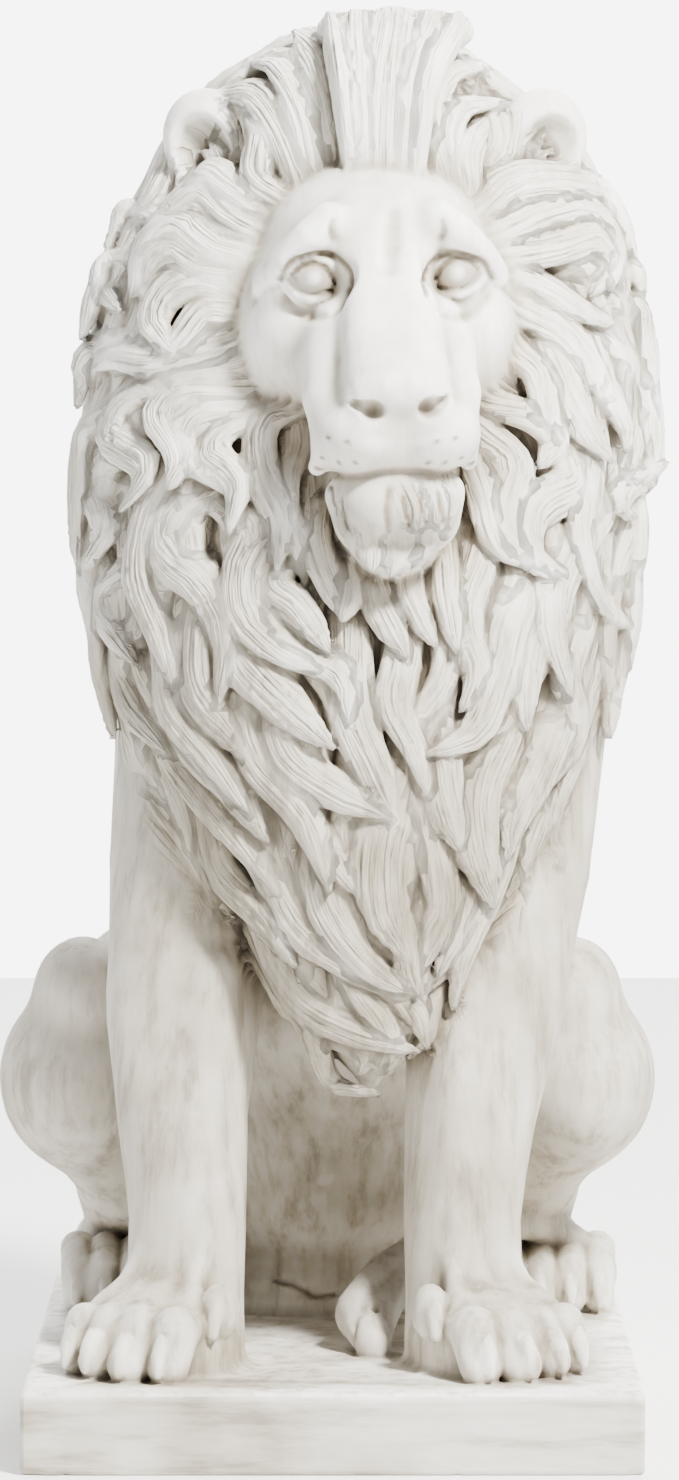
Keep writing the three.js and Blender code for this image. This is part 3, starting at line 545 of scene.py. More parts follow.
def press_ear(clay, side):
    """A round ear, its rim folded over, its hollow filled with tufts that rise from the head."""
    ear = turned((21 + side * 82.5, -40, 603), side * 20, 4, side * 20)
    clay.press(egg((0, 0, 0), (24, 15, 27), ear), 5)
    clay.carve(egg((side * 2, -17, -2), (17, 15, 18), ear), 3)
    for n in range(3):
        out = side * (6 * n - 12)
        knots = np.array([(out - side * 6, -4, -26, 1), (out - side * 2, -7, -16, 1),
                          (out + side, -6, -6, 1), (out + side * 5, -3, 2 - 3 * n, 1)])
        path = smooth_path((ear @ knots.T)[:3].T, 10)
        press_lock(clay, path, np.tile(-ear[:3, 1], (10, 1)), 8, 7, 0)


# The mane's mass: height, middle across, half width, middle depth, depth in front, depth behind.
MANE_STATIONS = np.array([
    (136, 18, 10, -100, 10, 20), (162, 17, 34, -88, 32, 55), (200, 15, 58, -74, 52, 70),
    (250, 13, 89, -52, 80, 88), (310, 13, 115, -25, 107, 102), (370, 14, 130, -12, 114, 108),
    (430, 16, 137, -5, 108, 108), (490, 17, 136, -2, 100, 108), (550, 18, 125, 0, 95, 102),
    (600, 19, 101, 2, 92, 90), (636, 14, 70, 0, 76, 70), (658, 17, 44, -6, 52, 46),
], float)
LOCK_DEPTH = 6  # how far the mass stands back from the tops of the locks


def mane_section(z):
    """The mane's section at a height: a smooth curve through the stations."""
    heights = MANE_STATIONS[:, 0]
    z = np.clip(z, heights[0], heights[-1])
    i = np.clip(np.searchsorted(heights, z, side="right") - 1, 0, len(heights) - 2)
    last = len(heights) - 1
    p0, p1, p2, p3 = (MANE_STATIONS[np.clip(i + n, 0, last)] for n in (-1, 0, 1, 2))
    t = ((z - p1[..., 0]) / (p2[..., 0] - p1[..., 0]))[..., None]
    return between(p0, p1, p2, p3, t)


def mane_point(angle, z):
    """The mane's outside at an angle round it, 0 in front, and a height: half an ellipse in front
    and half behind."""
    _, middle, half, depth, front, back = np.moveaxis(mane_section(z), -1, 0)
    reach = np.where(np.cos(angle) > 0, front, back)
    return np.stack([middle + half * np.sin(angle), depth - reach * np.cos(angle), z + 0 * angle], axis=-1)


def mane_normal(angle, z):
    """The way out of the mane: across both its slope round it and its slope up it."""
    z = np.clip(z, 140, 645)
    round_it = mane_point(angle + 0.02, z) - mane_point(angle - 0.02, z)
    up_it = mane_point(angle, z + 2) - mane_point(angle, z - 2)
    normal = np.cross(round_it, up_it)
    return normal / np.linalg.norm(normal, axis=-1, keepdims=True)


def mane_mass():
    """The mass under the locks: each level an ellipse, set back by the locks' depth."""
    low, high = MANE_STATIONS[0, 0], MANE_STATIONS[-1, 0]

    def distance(x, y, z):
        section = mane_section(z)
        _, middle, half, depth, front, back = (section[..., n] for n in range(6))
        wide = np.maximum(half - LOCK_DEPTH, 3)
        deep = np.maximum(np.where(y < depth, front, back) - LOCK_DEPTH, 3)
        across = np.sqrt(((x - middle) / wide) ** 2 + ((y - depth) / deep) ** 2)
        beyond = np.maximum(low - z, z - high)
        return np.maximum((across - 1) * np.minimum(wide, deep) * 0.8, beyond).astype(np.float32)

    return np.array([-140, -140, low]), np.array([170, 120, high]), distance


# The front locks as laid on the mane: width, then places (across, height) from root to tip.
LOCKS = [
    (17, (4, 587), (1, 614), (-7, 640), (-19, 657)),
    (18, (-5, 584), (-12, 614), (-24, 637), (-43, 643)),
    (18, (-14, 581), (-24, 609), (-38, 626), (-59, 625)),
    (13, (-21, 573), (-37, 584), (-35, 604), (-43, 616)),
    (15, (-31, 568), (-48, 579), (-60, 587), (-73, 573)),
    (16, (-34, 558), (-50, 567), (-63, 578), (-78, 569), (-86, 558)),
    (20, (-35, 550), (-55, 552), (-74, 565), (-90, 552), (-95, 525)),
    (17, (-40, 542), (-61, 542), (-77, 551), (-90, 540), (-91, 523)),
    (17, (-43, 531), (-64, 536), (-80, 529), (-86, 512), (-75, 497)),
    (15, (-83, 565), (-97, 570), (-110, 563), (-114, 549)),
    (17, (-89, 549), (-104, 547), (-115, 537), (-101, 518)),
    (15, (-111, 541), (-124, 534), (-128, 522), (-126, 504)),
    (15, (-46, 520), (-63, 518), (-72, 506), (-84, 491)),
    (18, (-48, 509), (-67, 501), (-86, 496), (-107, 497), (-116, 486)),
    (18, (-91, 521), (-96, 503), (-114, 500), (-130, 488), (-133, 470)),
    (18, (-50, 496), (-75, 489), (-102, 475), (-108, 456), (-89, 441), (-100, 419)),
    (17, (-48, 480), (-72, 478), (-83, 466), (-72, 446), (-77, 429)),
    (15, (-42, 470), (-63, 468), (-73, 456), (-65, 442), (-46, 428)),
    (14, (-32, 470), (-52, 461), (-59, 447), (-45, 433), (-48, 408)),
    (15, (-17, 476), (-35, 463), (-35, 438), (-24, 415), (-26, 391)),
    (17, (-96, 484), (-117, 466), (-137, 445), (-135, 421), (-119, 390)),
    (17, (-108, 452), (-119, 433), (-110, 412), (-118, 389)),
    (14, (-116, 412), (-127, 391), (-131, 370), (-125, 357)),
    (18, (-83, 437), (-91, 413), (-93, 386), (-82, 359), (-73, 333)),
    (18, (-63, 431), (-81, 417), (-81, 399), (-61, 382), (-50, 360), (-54, 325)),
    (18, (-51, 423), (-35, 411), (-42, 393), (-41, 369), (-23, 351), (-6, 343)),
    (14, (-21, 404), (-28, 384), (-16, 373), (-1, 352)),
    (15, (-102, 393), (-114, 378), (-107, 361), (-91, 345)),
    (13, (-119, 387), (-128, 365), (-121, 340), (-108, 307)),
    (17, (-98, 363), (-105, 344), (-96, 320), (-77, 302)),
    (16, (-90, 373), (-81, 351), (-77, 324), (-58, 300), (-37, 274)),
    (18, (-67, 374), (-68, 344), (-62, 325), (-39, 300)),
    (19, (-77, 334), (-70, 312), (-47, 286), (-30, 260)),
    (19, (-52, 369), (-42, 348), (-21, 326), (1, 306)),
    (16, (-32, 373), (-17, 353), (5, 340), (8, 319)),
    (16, (-45, 326), (-35, 298), (-12, 272), (0, 237)),
    (18, (-28, 331), (-21, 303), (-1, 286), (28, 272)),
    (18, (8, 351), (9, 323), (19, 297), (29, 271)),
    (17, (-93, 323), (-76, 298), (-52, 270), (-24, 235)),
    (15, (-62, 265), (-53, 242), (-33, 223), (-15, 199)),
    (17, (-43, 267), (-29, 244), (-10, 213), (34, 183)),
    (16, (-16, 277), (-1, 255), (12, 236)),
    (17, (-7, 258), (-2, 228), (16, 201), (37, 185)),
    (15, (-35, 212), (-16, 183), (9, 167), (39, 158)),
    (13, (-32, 196), (-13, 172), (2, 142), (21, 136)),
    (15, (13, 189), (23, 174), (32, 156)),
    (23, (32, 277), (25, 253), (25, 228), (34, 205)),
    (17, (45, 274), (51, 248), (52, 226), (40, 197)),
    (13, (35, 213), (36, 198), (38, 186)),
    (14, (29, 189), (39, 175), (42, 160)),
    (15, (35, 351), (30, 326), (39, 306), (45, 282)),
    (13, (19, 394), (23, 375), (35, 350)),
    (11, (40, 401), (38, 379), (49, 355)),
    (11, (6, 400), (9, 380), (5, 367)),
    (12, (-8, 423), (-7, 400), (6, 368)),
    (11, (56, 404), (55, 379), (58, 352)),
    (17, (50, 587), (45, 611), (53, 634), (78, 641)),
    (15, (59, 582), (54, 603), (62, 618), (84, 622)),
    (12, (69, 577), (66, 595), (76, 613)),
    (16, (73, 568), (90, 582), (113, 583), (135, 574), (140, 529)),
    (17, (79, 559), (102, 568), (125, 571), (137, 551), (133, 528)),
    (17, (85, 550), (108, 551), (128, 556), (134, 540), (125, 526)),
    (13, (129, 583), (145, 577), (144, 557), (148, 541)),
    (12, (133, 540), (152, 536), (150, 524)),
    (15, (92, 540), (108, 529), (123, 518), (136, 512)),
    (16, (89, 526), (110, 512), (122, 497), (136, 468)),
    (17, (136, 528), (158, 519), (167, 499), (164, 464)),
    (16, (135, 509), (151, 489), (167, 461), (158, 443), (142, 435)),
    (14, (93, 502), (103, 485), (105, 467), (112, 452)),
    (17, (106, 513), (113, 486), (120, 464), (133, 444)),
    (15, (129, 501), (133, 480), (141, 460), (139, 449)),
    (14, (83, 473), (99, 466), (108, 455), (100, 441)),
    (16, (76, 460), (90, 442), (83, 413), (103, 386)),
    (14, (71, 448), (75, 425), (79, 404), (93, 393)),
    (17, (112, 452), (118, 434), (97, 420), (96, 399), (110, 389)),
    (17, (130, 452), (125, 429), (122, 403), (130, 375), (152, 356)),
    (14, (169, 440), (146, 433), (139, 423), (145, 416)),
    (16, (173, 421), (161, 403), (144, 384), (153, 352)),
    (14, (164, 397), (152, 375), (160, 358), (153, 340)),
    (18, (136, 422), (115, 397), (105, 369), (112, 328)),
    (18, (112, 393), (90, 372), (80, 343), (68, 313), (45, 303)),
    (15, (72, 394), (63, 367), (69, 341), (61, 323)),
    (17, (100, 364), (93, 340), (92, 313)),
    (17, (127, 368), (115, 342), (119, 313), (102, 283)),
    (15, (140, 362), (133, 336), (139, 308)),
    (13, (157, 360), (149, 334), (140, 308)),
    (20, (116, 324), (102, 297), (88, 272), (82, 251)),
    (22, (82, 311), (69, 286), (67, 262), (73, 228)),
    (13, (133, 322), (119, 297), (106, 274), (103, 246)),
    (17, (52, 307), (52, 282), (58, 256)),
    (16, (88, 256), (76, 231), (63, 207), (54, 177)),
    (13, (65, 232), (58, 212), (49, 193)),
]


def smooth_path(knots, count):
    """Points at even shares of a curve through the knots (each piece a cubic, its slopes taken
    from the neighbours)."""
    knots = np.array(knots, float)
    padded = np.concatenate([2 * knots[:1] - knots[1:2], knots, 2 * knots[-1:] - knots[-2:-1]])
    span = np.concatenate([[0], np.cumsum(np.linalg.norm(np.diff(knots, axis=0), axis=1))])
    at = np.interp(np.linspace(0, span[-1], count), span, np.arange(len(knots)))
    i = np.minimum(at.astype(int), len(knots) - 2)
    t = (at - i)[:, None]
    p0, p1, p2, p3 = (padded[i + n] for n in range(4))
    return between(p0, p1, p2, p3, t)


def press_lock(clay, path, outward, width, thick, lift, tilt=0.0, fillet=2.2):
    """A lock of hair: a flattened section carried along a path. It swells from its root, leans so
    that its lower edge stands proud, and tapers to a lifted tip. Its distance is worked out like an
    egg's, in half widths and half depths of the section. Each point near it also learns how far
    across and along the lock it is, for the comb and for the finish."""
    count = len(path)
    t = np.linspace(0, 1, count)
    swell = np.interp(t, [0, 0.2, 0.5, 0.78, 0.93, 1], [0.75, 0.95, 1, 0.72, 0.36, 0.1])
    half = np.maximum(width / 2 * swell, 1.2)
    deep = np.maximum(thick / 2 * np.interp(t, [0, 0.3, 0.7, 1], [0.7, 1, 0.9, 0.3]), 1.1)
    rise = np.interp(t, [0, 0.25, 0.6, 1], [-0.9, -0.35, 0.05, 0.1]) * thick / 2 + lift * t**2.2
    middle = path + outward * rise[:, None]
    along = np.gradient(middle, axis=0)
    along /= np.linalg.norm(along, axis=1, keepdims=True)
    across = np.cross(along, outward)
    across /= np.linalg.norm(across, axis=1, keepdims=True)
    upward = np.cross(across, along)
    lean_over = (tilt - 0.5 * across[:, 2]) * np.interp(t, [0, 0.25, 0.85, 1], [0.3, 1, 1, 0.2])
    lean_over = np.convolve(np.pad(lean_over, 1, mode="edge"), [0.25, 0.5, 0.25], mode="valid")[:, None]
    across, upward = across + lean_over * upward, upward - lean_over * across
    start = chance.uniform(-300, 300)
    run = np.concatenate([[0], np.cumsum(np.linalg.norm(np.diff(middle, axis=0), axis=1))])

    spare = 6
    reach = np.maximum(half, deep)[:, None]
    part, at = clay.window((middle - reach).min(axis=0), (middle + reach).max(axis=0), spare)
    shape = clay.depth[part].shape
    if 0 in shape:
        return
    lock = np.full(shape, 1e3, np.float32)
    place = np.zeros((2, *shape), np.float32)
    low = np.array([v.ravel()[0] for v in at])
    for n in range(count - 1):
        ends = middle[n : n + 2]
        first = np.maximum((ends.min(axis=0) - reach[n] - spare - low) // clay.cell, 0).astype(int)
        last = np.minimum((ends.max(axis=0) + reach[n] + spare - low) // clay.cell + 2, shape).astype(int)
        near = tuple(slice(a, max(a, b)) for a, b in zip(first, last))
        x, y, z = at[0][near[0]], at[1][:, near[1]], at[2][:, :, near[2]]
        step = (ends[1] - ends[0]).astype(np.float32)
        length = np.linalg.norm(step)
        gap = [v - np.float32(ends[0, m]) for m, v in enumerate((x, y, z))]
        whole = (gap[0] * step[0] + gap[1] * step[1] + gap[2] * step[2]) / length**2
        share = np.clip(whole, 0, 1)
        side = (across[n], across[n + 1] - across[n])
        out = (upward[n], upward[n + 1] - upward[n])
        gap = [g - share * s for g, s in zip(gap, step)]
        u = sum(g * (np.float32(p) + share * np.float32(q)) for g, p, q in zip(gap, *side))
        w = sum(g * (np.float32(p) + share * np.float32(q)) for g, p, q in zip(gap, *out))
        e = (whole - share) * length
        a = np.float32(half[n]) + share * np.float32(half[n + 1] - half[n])
        b = np.float32(deep[n]) + share * np.float32(deep[n + 1] - deep[n])
        u, w, e = u / a, w / b, e / a
        skin = np.sqrt(u * u + w * w + e * e)
        steep = np.sqrt((u / a) ** 2 + (w / b) ** 2 + (e / a) ** 2)
        distance = skin * (skin - 1) / np.maximum(steep, 1e-6)
        nearer = distance < lock[near]
        lock[near] = np.where(nearer, distance, lock[near])
        place[(0, *near)] = np.where(nearer, start + u * np.maximum(a, 0.35 * width), place[(0, *near)])
        place[(1, *near)] = np.where(nearer, run[n] + share * length, place[(1, *near)])
    clay.depth[part] = joined(clay.depth[part], lock, fillet)
    nearest, second = clay.nearest[part], clay.second[part]
    nearer = lock < nearest
    clay.second[part] = np.where(nearer, nearest, np.minimum(second, lock))
    clay.strand[part] = np.where(nearer, place[0], clay.strand[part])
    clay.length[part] = np.where(nearer, place[1], clay.length[part])
    clay.nearest[part] = np.minimum(nearest, lock)


# The face that the hair runs away from: its middle across and up, its reach each way, and the angle
# round the mane that its middle is at.
FACE_X, FACE_Z = 24, 506
FACE_WIDE, FACE_HIGH = 72, 90
FACE_ANGLE = 0.06


def front_angle(x, z):
    """The angle round the mane at which its front half is so far across at a height."""
    section = mane_section(z)
    return np.arcsin(np.clip((x - section[..., 1]) / section[..., 2], -0.985, 0.985))


def press_front_locks(clay):
    """The locks of the front, each laid on the mane's outside along its own path. Those that start
    away from the face get a root 18 mm further back, under the locks before them."""
    for width, *knots in LOCKS:
        (x0, z0), (x1, z1) = knots[:2]
        back = 18 / math.hypot(x1 - x0, z1 - z0)
        if math.hypot((x0 - FACE_X) / FACE_WIDE, (z0 - FACE_Z) / FACE_HIGH) > 1.35:
            knots = [(x0 - back * (x1 - x0), z0 - back * (z1 - z0)), *knots]
        path = smooth_path(knots, 14)
        angle = front_angle(path[:, 0], path[:, 1])
        place, outward = mane_point(angle, path[:, 1]), mane_normal(angle, path[:, 1])
        beyond = path[:, 0] - place[:, 0]
        place[:, 0] += np.clip(beyond, -5, 5)
        run = path[-1] - path[0]
        hang = np.clip(0.3 - run[1] / 60, 0, 1)
        press_lock(clay, place, outward, 1.45 * width, 13, chance.uniform(3, 8) * hang,
                   tilt=chance.uniform(-0.35, 0.35))


def half_width(z):
    """Half the mane's width at a height, or 30 where it is narrower."""
    return max(mane_section(z)[2], 30)


def flow(angle, z):
    """The way the hair runs at a spot of the mane: away from the face, and hanging further out,
    low in front a little towards the middle. It comes as the angle and the height to go for each
    millimetre."""
    half = half_width(z)
    across, up = (angle - FACE_ANGLE) * half, z - FACE_Z
    away = math.hypot(across, up) or 1
    out = math.hypot(across / FACE_WIDE, up / FACE_HIGH)
    hang = smoothstep(1, 2.3 if up > 0 else 1.7, out)
    inward = -0.55 * np.clip(across / 60, -1, 1) * smoothstep(430, 250, z) * smoothstep(1.5, 0.7, abs(angle))
    x = across / away * (1 - hang) + inward * hang
    y = up / away * (1 - hang) - hang
    return x / math.hypot(x, y) / half, y / math.hypot(x, y)


def press_flowing_lock(clay, angle, z, length, width, wave, phase, lift, thick, sunk=0.0):
    """A lock that follows the flow of the hair, with a sway to each side of it."""
    knots = []
    for t in np.linspace(0, 1, 8):
        d_angle, d_z = flow(angle, z)
        half = half_width(z)
        sway = wave * math.sin(2 * math.pi * (1.05 * t + phase)) * (0.35 + 0.65 * t)
        knots.append((angle - sway * d_z / half, z + sway * d_angle * half))
        angle += d_angle * length / 7
        z += d_z * length / 7
    path = smooth_path(knots, 12)
    outward = mane_normal(path[:, 0], path[:, 1])
    press_lock(clay, mane_point(path[:, 0], path[:, 1]) - sunk * outward, outward, width, thick, lift,
               tilt=chance.uniform(-0.35, 0.35))


# Rings of locks round the face that show between the laid ones: how far out, how many, from this
# angle either side of straight up, to this one, length, width.
UNDER_RINGS = [(3.55, 6, 158, 180, 44, 18), (3.0, 11, 136, 180, 92, 19), (2.4, 15, 108, 180, 104, 20),
               (1.82, 20, 58, 180, 108, 20), (1.3, 20, 26, 168, 90, 18)]


def press_under_locks(clay):
    """The rings of locks under the laid ones: each lock starts on an ellipse round the face, at an
    even share of the way between the ring's two ends."""
    for out, count, start, end, length, width in UNDER_RINGS:
        for n in range(count):
            share = (n - (count - 1) / 2) / ((count - 1) / 2)
            turn = math.radians((end + (start - end) * abs(share)) * (1 if share >= 0 else -1))
            z = FACE_Z + out * FACE_HIGH * math.cos(turn)
            angle = FACE_ANGLE + out * FACE_WIDE * math.sin(turn) / half_width(z)
            press_flowing_lock(clay, angle, z, length, width, 9, chance.uniform(-0.5, 0.5),
                               3, 12, sunk=3.5)


def press_back_locks(clay):
    """Nine rows of hanging locks round the back of the mane, thirteen and fourteen in turn.
    Towards the crown they lie further out, on the rounder head."""
    for row, z in enumerate((326, 372, 418, 464, 510, 556, 598, 634, 655)):
        count = 13 + row % 2
        for n in range(count):
            angle = 1.16 + (2 * math.pi - 2.32) * (n + 0.5) / count
            vary = chance.uniform(-1, 1)
            over_crown = 12 * smoothstep(520, 590, z) * max(-math.cos(angle), 0)
            press_flowing_lock(clay, angle, z, 92 + 12 * vary, 27, 12, 0.5 * vary,
                               chance.uniform(1, 4), 13, sunk=1 - over_crown)


def press_crown(clay):
    """The crown under the forelocks: three eggs, over the face, behind it and under the tuft."""
    clay.press(egg((21, -16, 602), (62, 66, 58)), 12)
    clay.press(egg((19, 26, 590), (80, 74, 66)), 16)
    clay.press(egg((30, -45, 640), (35, 22, 17)), 8)


def press_crown_strands(clay):
    """Thirteen locks side by side that run back over the crown. The outer ones lie lower by the
    square of their place, and the middle ones start further forward, under the tuft."""
    for n in range(13):
        spread = n - 6
        x = 22 + 11 * spread
        drop = 0.7 * spread**2
        root = -34 - 5 * max(4 - abs(spread), 0)
        knots = [(x - 0.2 * spread, root, 652 - drop), (x, 0, 655 - drop),
                 (x + spread, 36, 641 - 1.1 * drop), (x + 1.5 * spread, 72, 611 - 1.1 * drop),
                 (x + 1.6 * spread, 96, 574 - drop)]
        path = smooth_path(knots, 12)
        outward = path - np.array([28, 10, 560])
        outward /= np.linalg.norm(outward, axis=1, keepdims=True)
        press_lock(clay, path, outward, 20, 14, 2)


def press_tuft(clay):
    """The broad tuft that rises from the middle of the brow and curls over on top: five locks that
    spread apart upwards, the middle one widest, the outer ones a little lower on top."""
    for spread, width, thick in ((0, 36, 12), (-1.9, 20, 14), (1.9, 20, 14), (-2.9, 13, 19), (2.9, 13, 18)):
        knots = [(25 + 5.5 * spread, -97, 580), (25 + 6 * spread, -100, 604),
                 (26 + 7.4 * spread, -93, 632), (29 + 9.6 * spread, -77, 654 - 0.4 * spread**2),
                 (31 + 10.8 * spread, -52, 664 - 0.5 * spread**2),
                 (30 + 10.8 * spread, -20, 659 - 0.6 * spread**2)]
        path = smooth_path(knots, 14)
        share = np.linspace(0, 1, 14)
        outward = np.stack([0.05 * spread + 0 * share, -np.interp(share, [0, 0.55, 1], [1, 0.8, 0.1]),
                            np.interp(share, [0, 0.55, 1], [0.05, 0.6, 1])], axis=1)
        press_lock(clay, path, outward, width, thick, 0)


def press_tuft_lip(clay):
    """The roll of hair along the top of the tuft, square at its ends."""
    clay.press(limb([(31 + 10.8 * spread, -62, 661 - 0.55 * spread**2, 6.5)
                     for spread in (-3, -1.5, 0, 1.5, 3)]), 5)
    for spread in (-2.2, -0.9, 0.8, 2.1):
        x = 31 + 10.8 * spread
        clay.carve(limb([(x - 0.5, -70, 655, 0.8), (x, -68, 663, 1.2), (x + 0.6, -60, 668, 0.8)]), 2)


def model_lion():
    """The whole casting: smooth forms on a coarse grid, then carving on one twice as fine."""
    clay = Clay((-186, -206, -SLAB_HEIGHT - 6), (186, 212, 682), 2 * CELL)
    press_torso(clay)
    for side in (LEFT, RIGHT):
        press_haunch(clay, side)
        press_foreleg(clay, side)
    clay.press(mane_mass(), 12)
    press_crown(clay)
    press_head(clay)
    press_tail(clay)
    clay.refine()
    press_under_locks(clay)
    press_back_locks(clay)
    press_crown_strands(clay)
    for side in (LEFT, RIGHT):
        press_ear(clay, side)
    press_front_locks(clay)
    press_tuft(clay)
    clay.comb(COMB, GROOVE)
    press_tuft_lip(clay)
    carve_face(clay)
    for side in (LEFT, RIGHT):
        press_hind_toes(clay, side)
        press_forepaw(clay, side)
    clay.press(slab(), 2.5)
    mark_belly(clay)
    # Chips along the slab's front, and painted shade beside the muzzle.
    for x, z, wide in ((-146, -40, 8), (-128, -41, 4), (147, -40, 7), (149, -2, 2.5), (60, -41, 3)):
        clay.carve(egg((x, -201, z), (wide, 3, 4)), 1)
    for side in (LEFT, RIGHT):
        clay.paint_shade(egg((lean(444) + side * 44, -92, 446), (12, 26, 28)), 0.4, 8)
    height = (clay.low[2] + clay.cell * np.arange(clay.depth.shape[2])).astype(np.float32)
    clay.depth = np.maximum(clay.depth, -SLAB_HEIGHT - height)
    return clay


def mesh_of(name, points, faces):
    """A mesh of points and of faces that all have the same number of corners."""
    mesh = bpy.data.meshes.new(name)
    mesh.vertices.add(len(points))
    mesh.vertices.foreach_set("co", points.astype(np.float32).ravel())
    sides = faces.shape[1]
    mesh.loops.add(faces.size)
    mesh.loops.foreach_set("vertex_index", faces.astype(np.int32).ravel())
    mesh.polygons.add(len(faces))
    mesh.polygons.foreach_set("loop_start", np.arange(0, faces.size, sides, dtype=np.int32))
    mesh.update(calc_edges=True)
    return mesh


def outer_skin(points, faces):
    """The skin without the shut pockets left between locks: each point takes the lowest number
    among its neighbours until none changes, and the largest set with one number is kept."""
    number = np.arange(len(points))
    a, b = faces.ravel(), np.roll(faces, 1, axis=1).ravel()
    changed = True
    while changed:
        least = np.minimum(number[a], number[b])
        lower = number.copy()
        np.minimum.at(lower, a, least)
        np.minimum.at(lower, b, least)
        lower = lower[lower]
        changed = (lower != number).any()
        number = lower
    whole = number == np.bincount(number).argmax()
    return points[whole], (np.cumsum(whole) - 1)[faces[whole[faces[:, 0]]]]


def thinned(mesh, most, kept):
    """The mesh with edges merged, least change first, until it has at most so many triangles. The
    more a point is to be kept, from 0 to 1, the later its edges go."""
    rough = bpy.data.objects.new("rough", mesh)
    bpy.context.scene.collection.objects.link(rough)
    loose = rough.vertex_groups.new(name="loose")
    for share in np.unique(kept):
        loose.add(np.flatnonzero(kept == share).tolist(), 1 - share, "REPLACE")
    thin = rough.modifiers.new("thin", "DECIMATE")
    thin.vertex_group, thin.vertex_group_factor = "loose", 0.002
    thin.ratio = min(1, most / (2 * len(mesh.polygons)))
    fine = rough.evaluated_get(bpy.context.evaluated_depsgraph_get())
    done = bpy.data.meshes.new_from_object(fine)
    bpy.data.objects.remove(rough)
    done.calc_loop_triangles()
    points = np.empty(3 * len(done.vertices), np.float32)
    faces = np.empty(3 * len(done.loop_triangles), np.int32)
    done.vertices.foreach_get("co", points)
    done.loop_triangles.foreach_get("vertices", faces)
    outside = mesh_of("lion", *outer_skin(points.reshape(-1, 3), faces.reshape(-1, 3)))
    bpy.data.meshes.remove(done)
    piece = bpy.data.objects.new("lion_in_cast_stone", outside)
    bpy.context.scene.collection.objects.link(piece)
    return piece


def blurred(field, reach):
    """The mean of a field over a cube of so many grid points either way, by running sums."""
    for axis in range(3):
        rows = np.moveaxis(field, axis, 0)
        padded = np.pad(rows, [(reach + 1, reach), (0, 0), (0, 0)], mode="edge")
        sums = np.cumsum(padded, axis=0, dtype=np.float64)
        mean = (sums[2 * reach + 1 :] - sums[: -2 * reach - 1]) / (2 * reach + 1)
        field = np.moveaxis(mean.astype(np.float32), 0, axis)
    return field


def light(hex_colour):
    """An sRGB hex colour as the linear colour that shading works in."""
    parts = [int(hex_colour[n : n + 2], 16) / 255 for n in (1, 3, 5)]
    return (*(v / 12.92 if v <= 0.04045 else ((v + 0.055) / 1.055) ** 2.4 for v in parts), 1)


def add(tree, kind, settings=None, **links):
    """Adds a node; settings sets its properties, links fills its sockets by name or number with a
    value or with another node's socket."""
    node = tree.nodes.new(kind)
    for name, value in (settings or {}).items():
        setattr(node, name, value)
    for name, value in links.items():
        socket = node.inputs[int(name[1:]) if name[1:].isdigit() else name.replace("_", " ")]
        if isinstance(value, bpy.types.NodeSocket):
            tree.links.new(value, socket)
        else:
            socket.default_value = value
    return node


def ramp(tree, factor, *stops):
    """A colour ramp over a factor; each stop is a place and an sRGB hex colour."""
    stops = [(place, light(colour)) for place, colour in stops]
    node = add(tree, "ShaderNodeValToRGB", None, Fac=factor)
    line = node.color_ramp
    line.elements[0].position, line.elements[0].color = stops[0]
    line.elements[1].position, line.elements[1].color = stops[-1]
    for place, colour in stops[1:-1]:
        line.elements.new(place).color = colour
    return node.outputs["Color"]


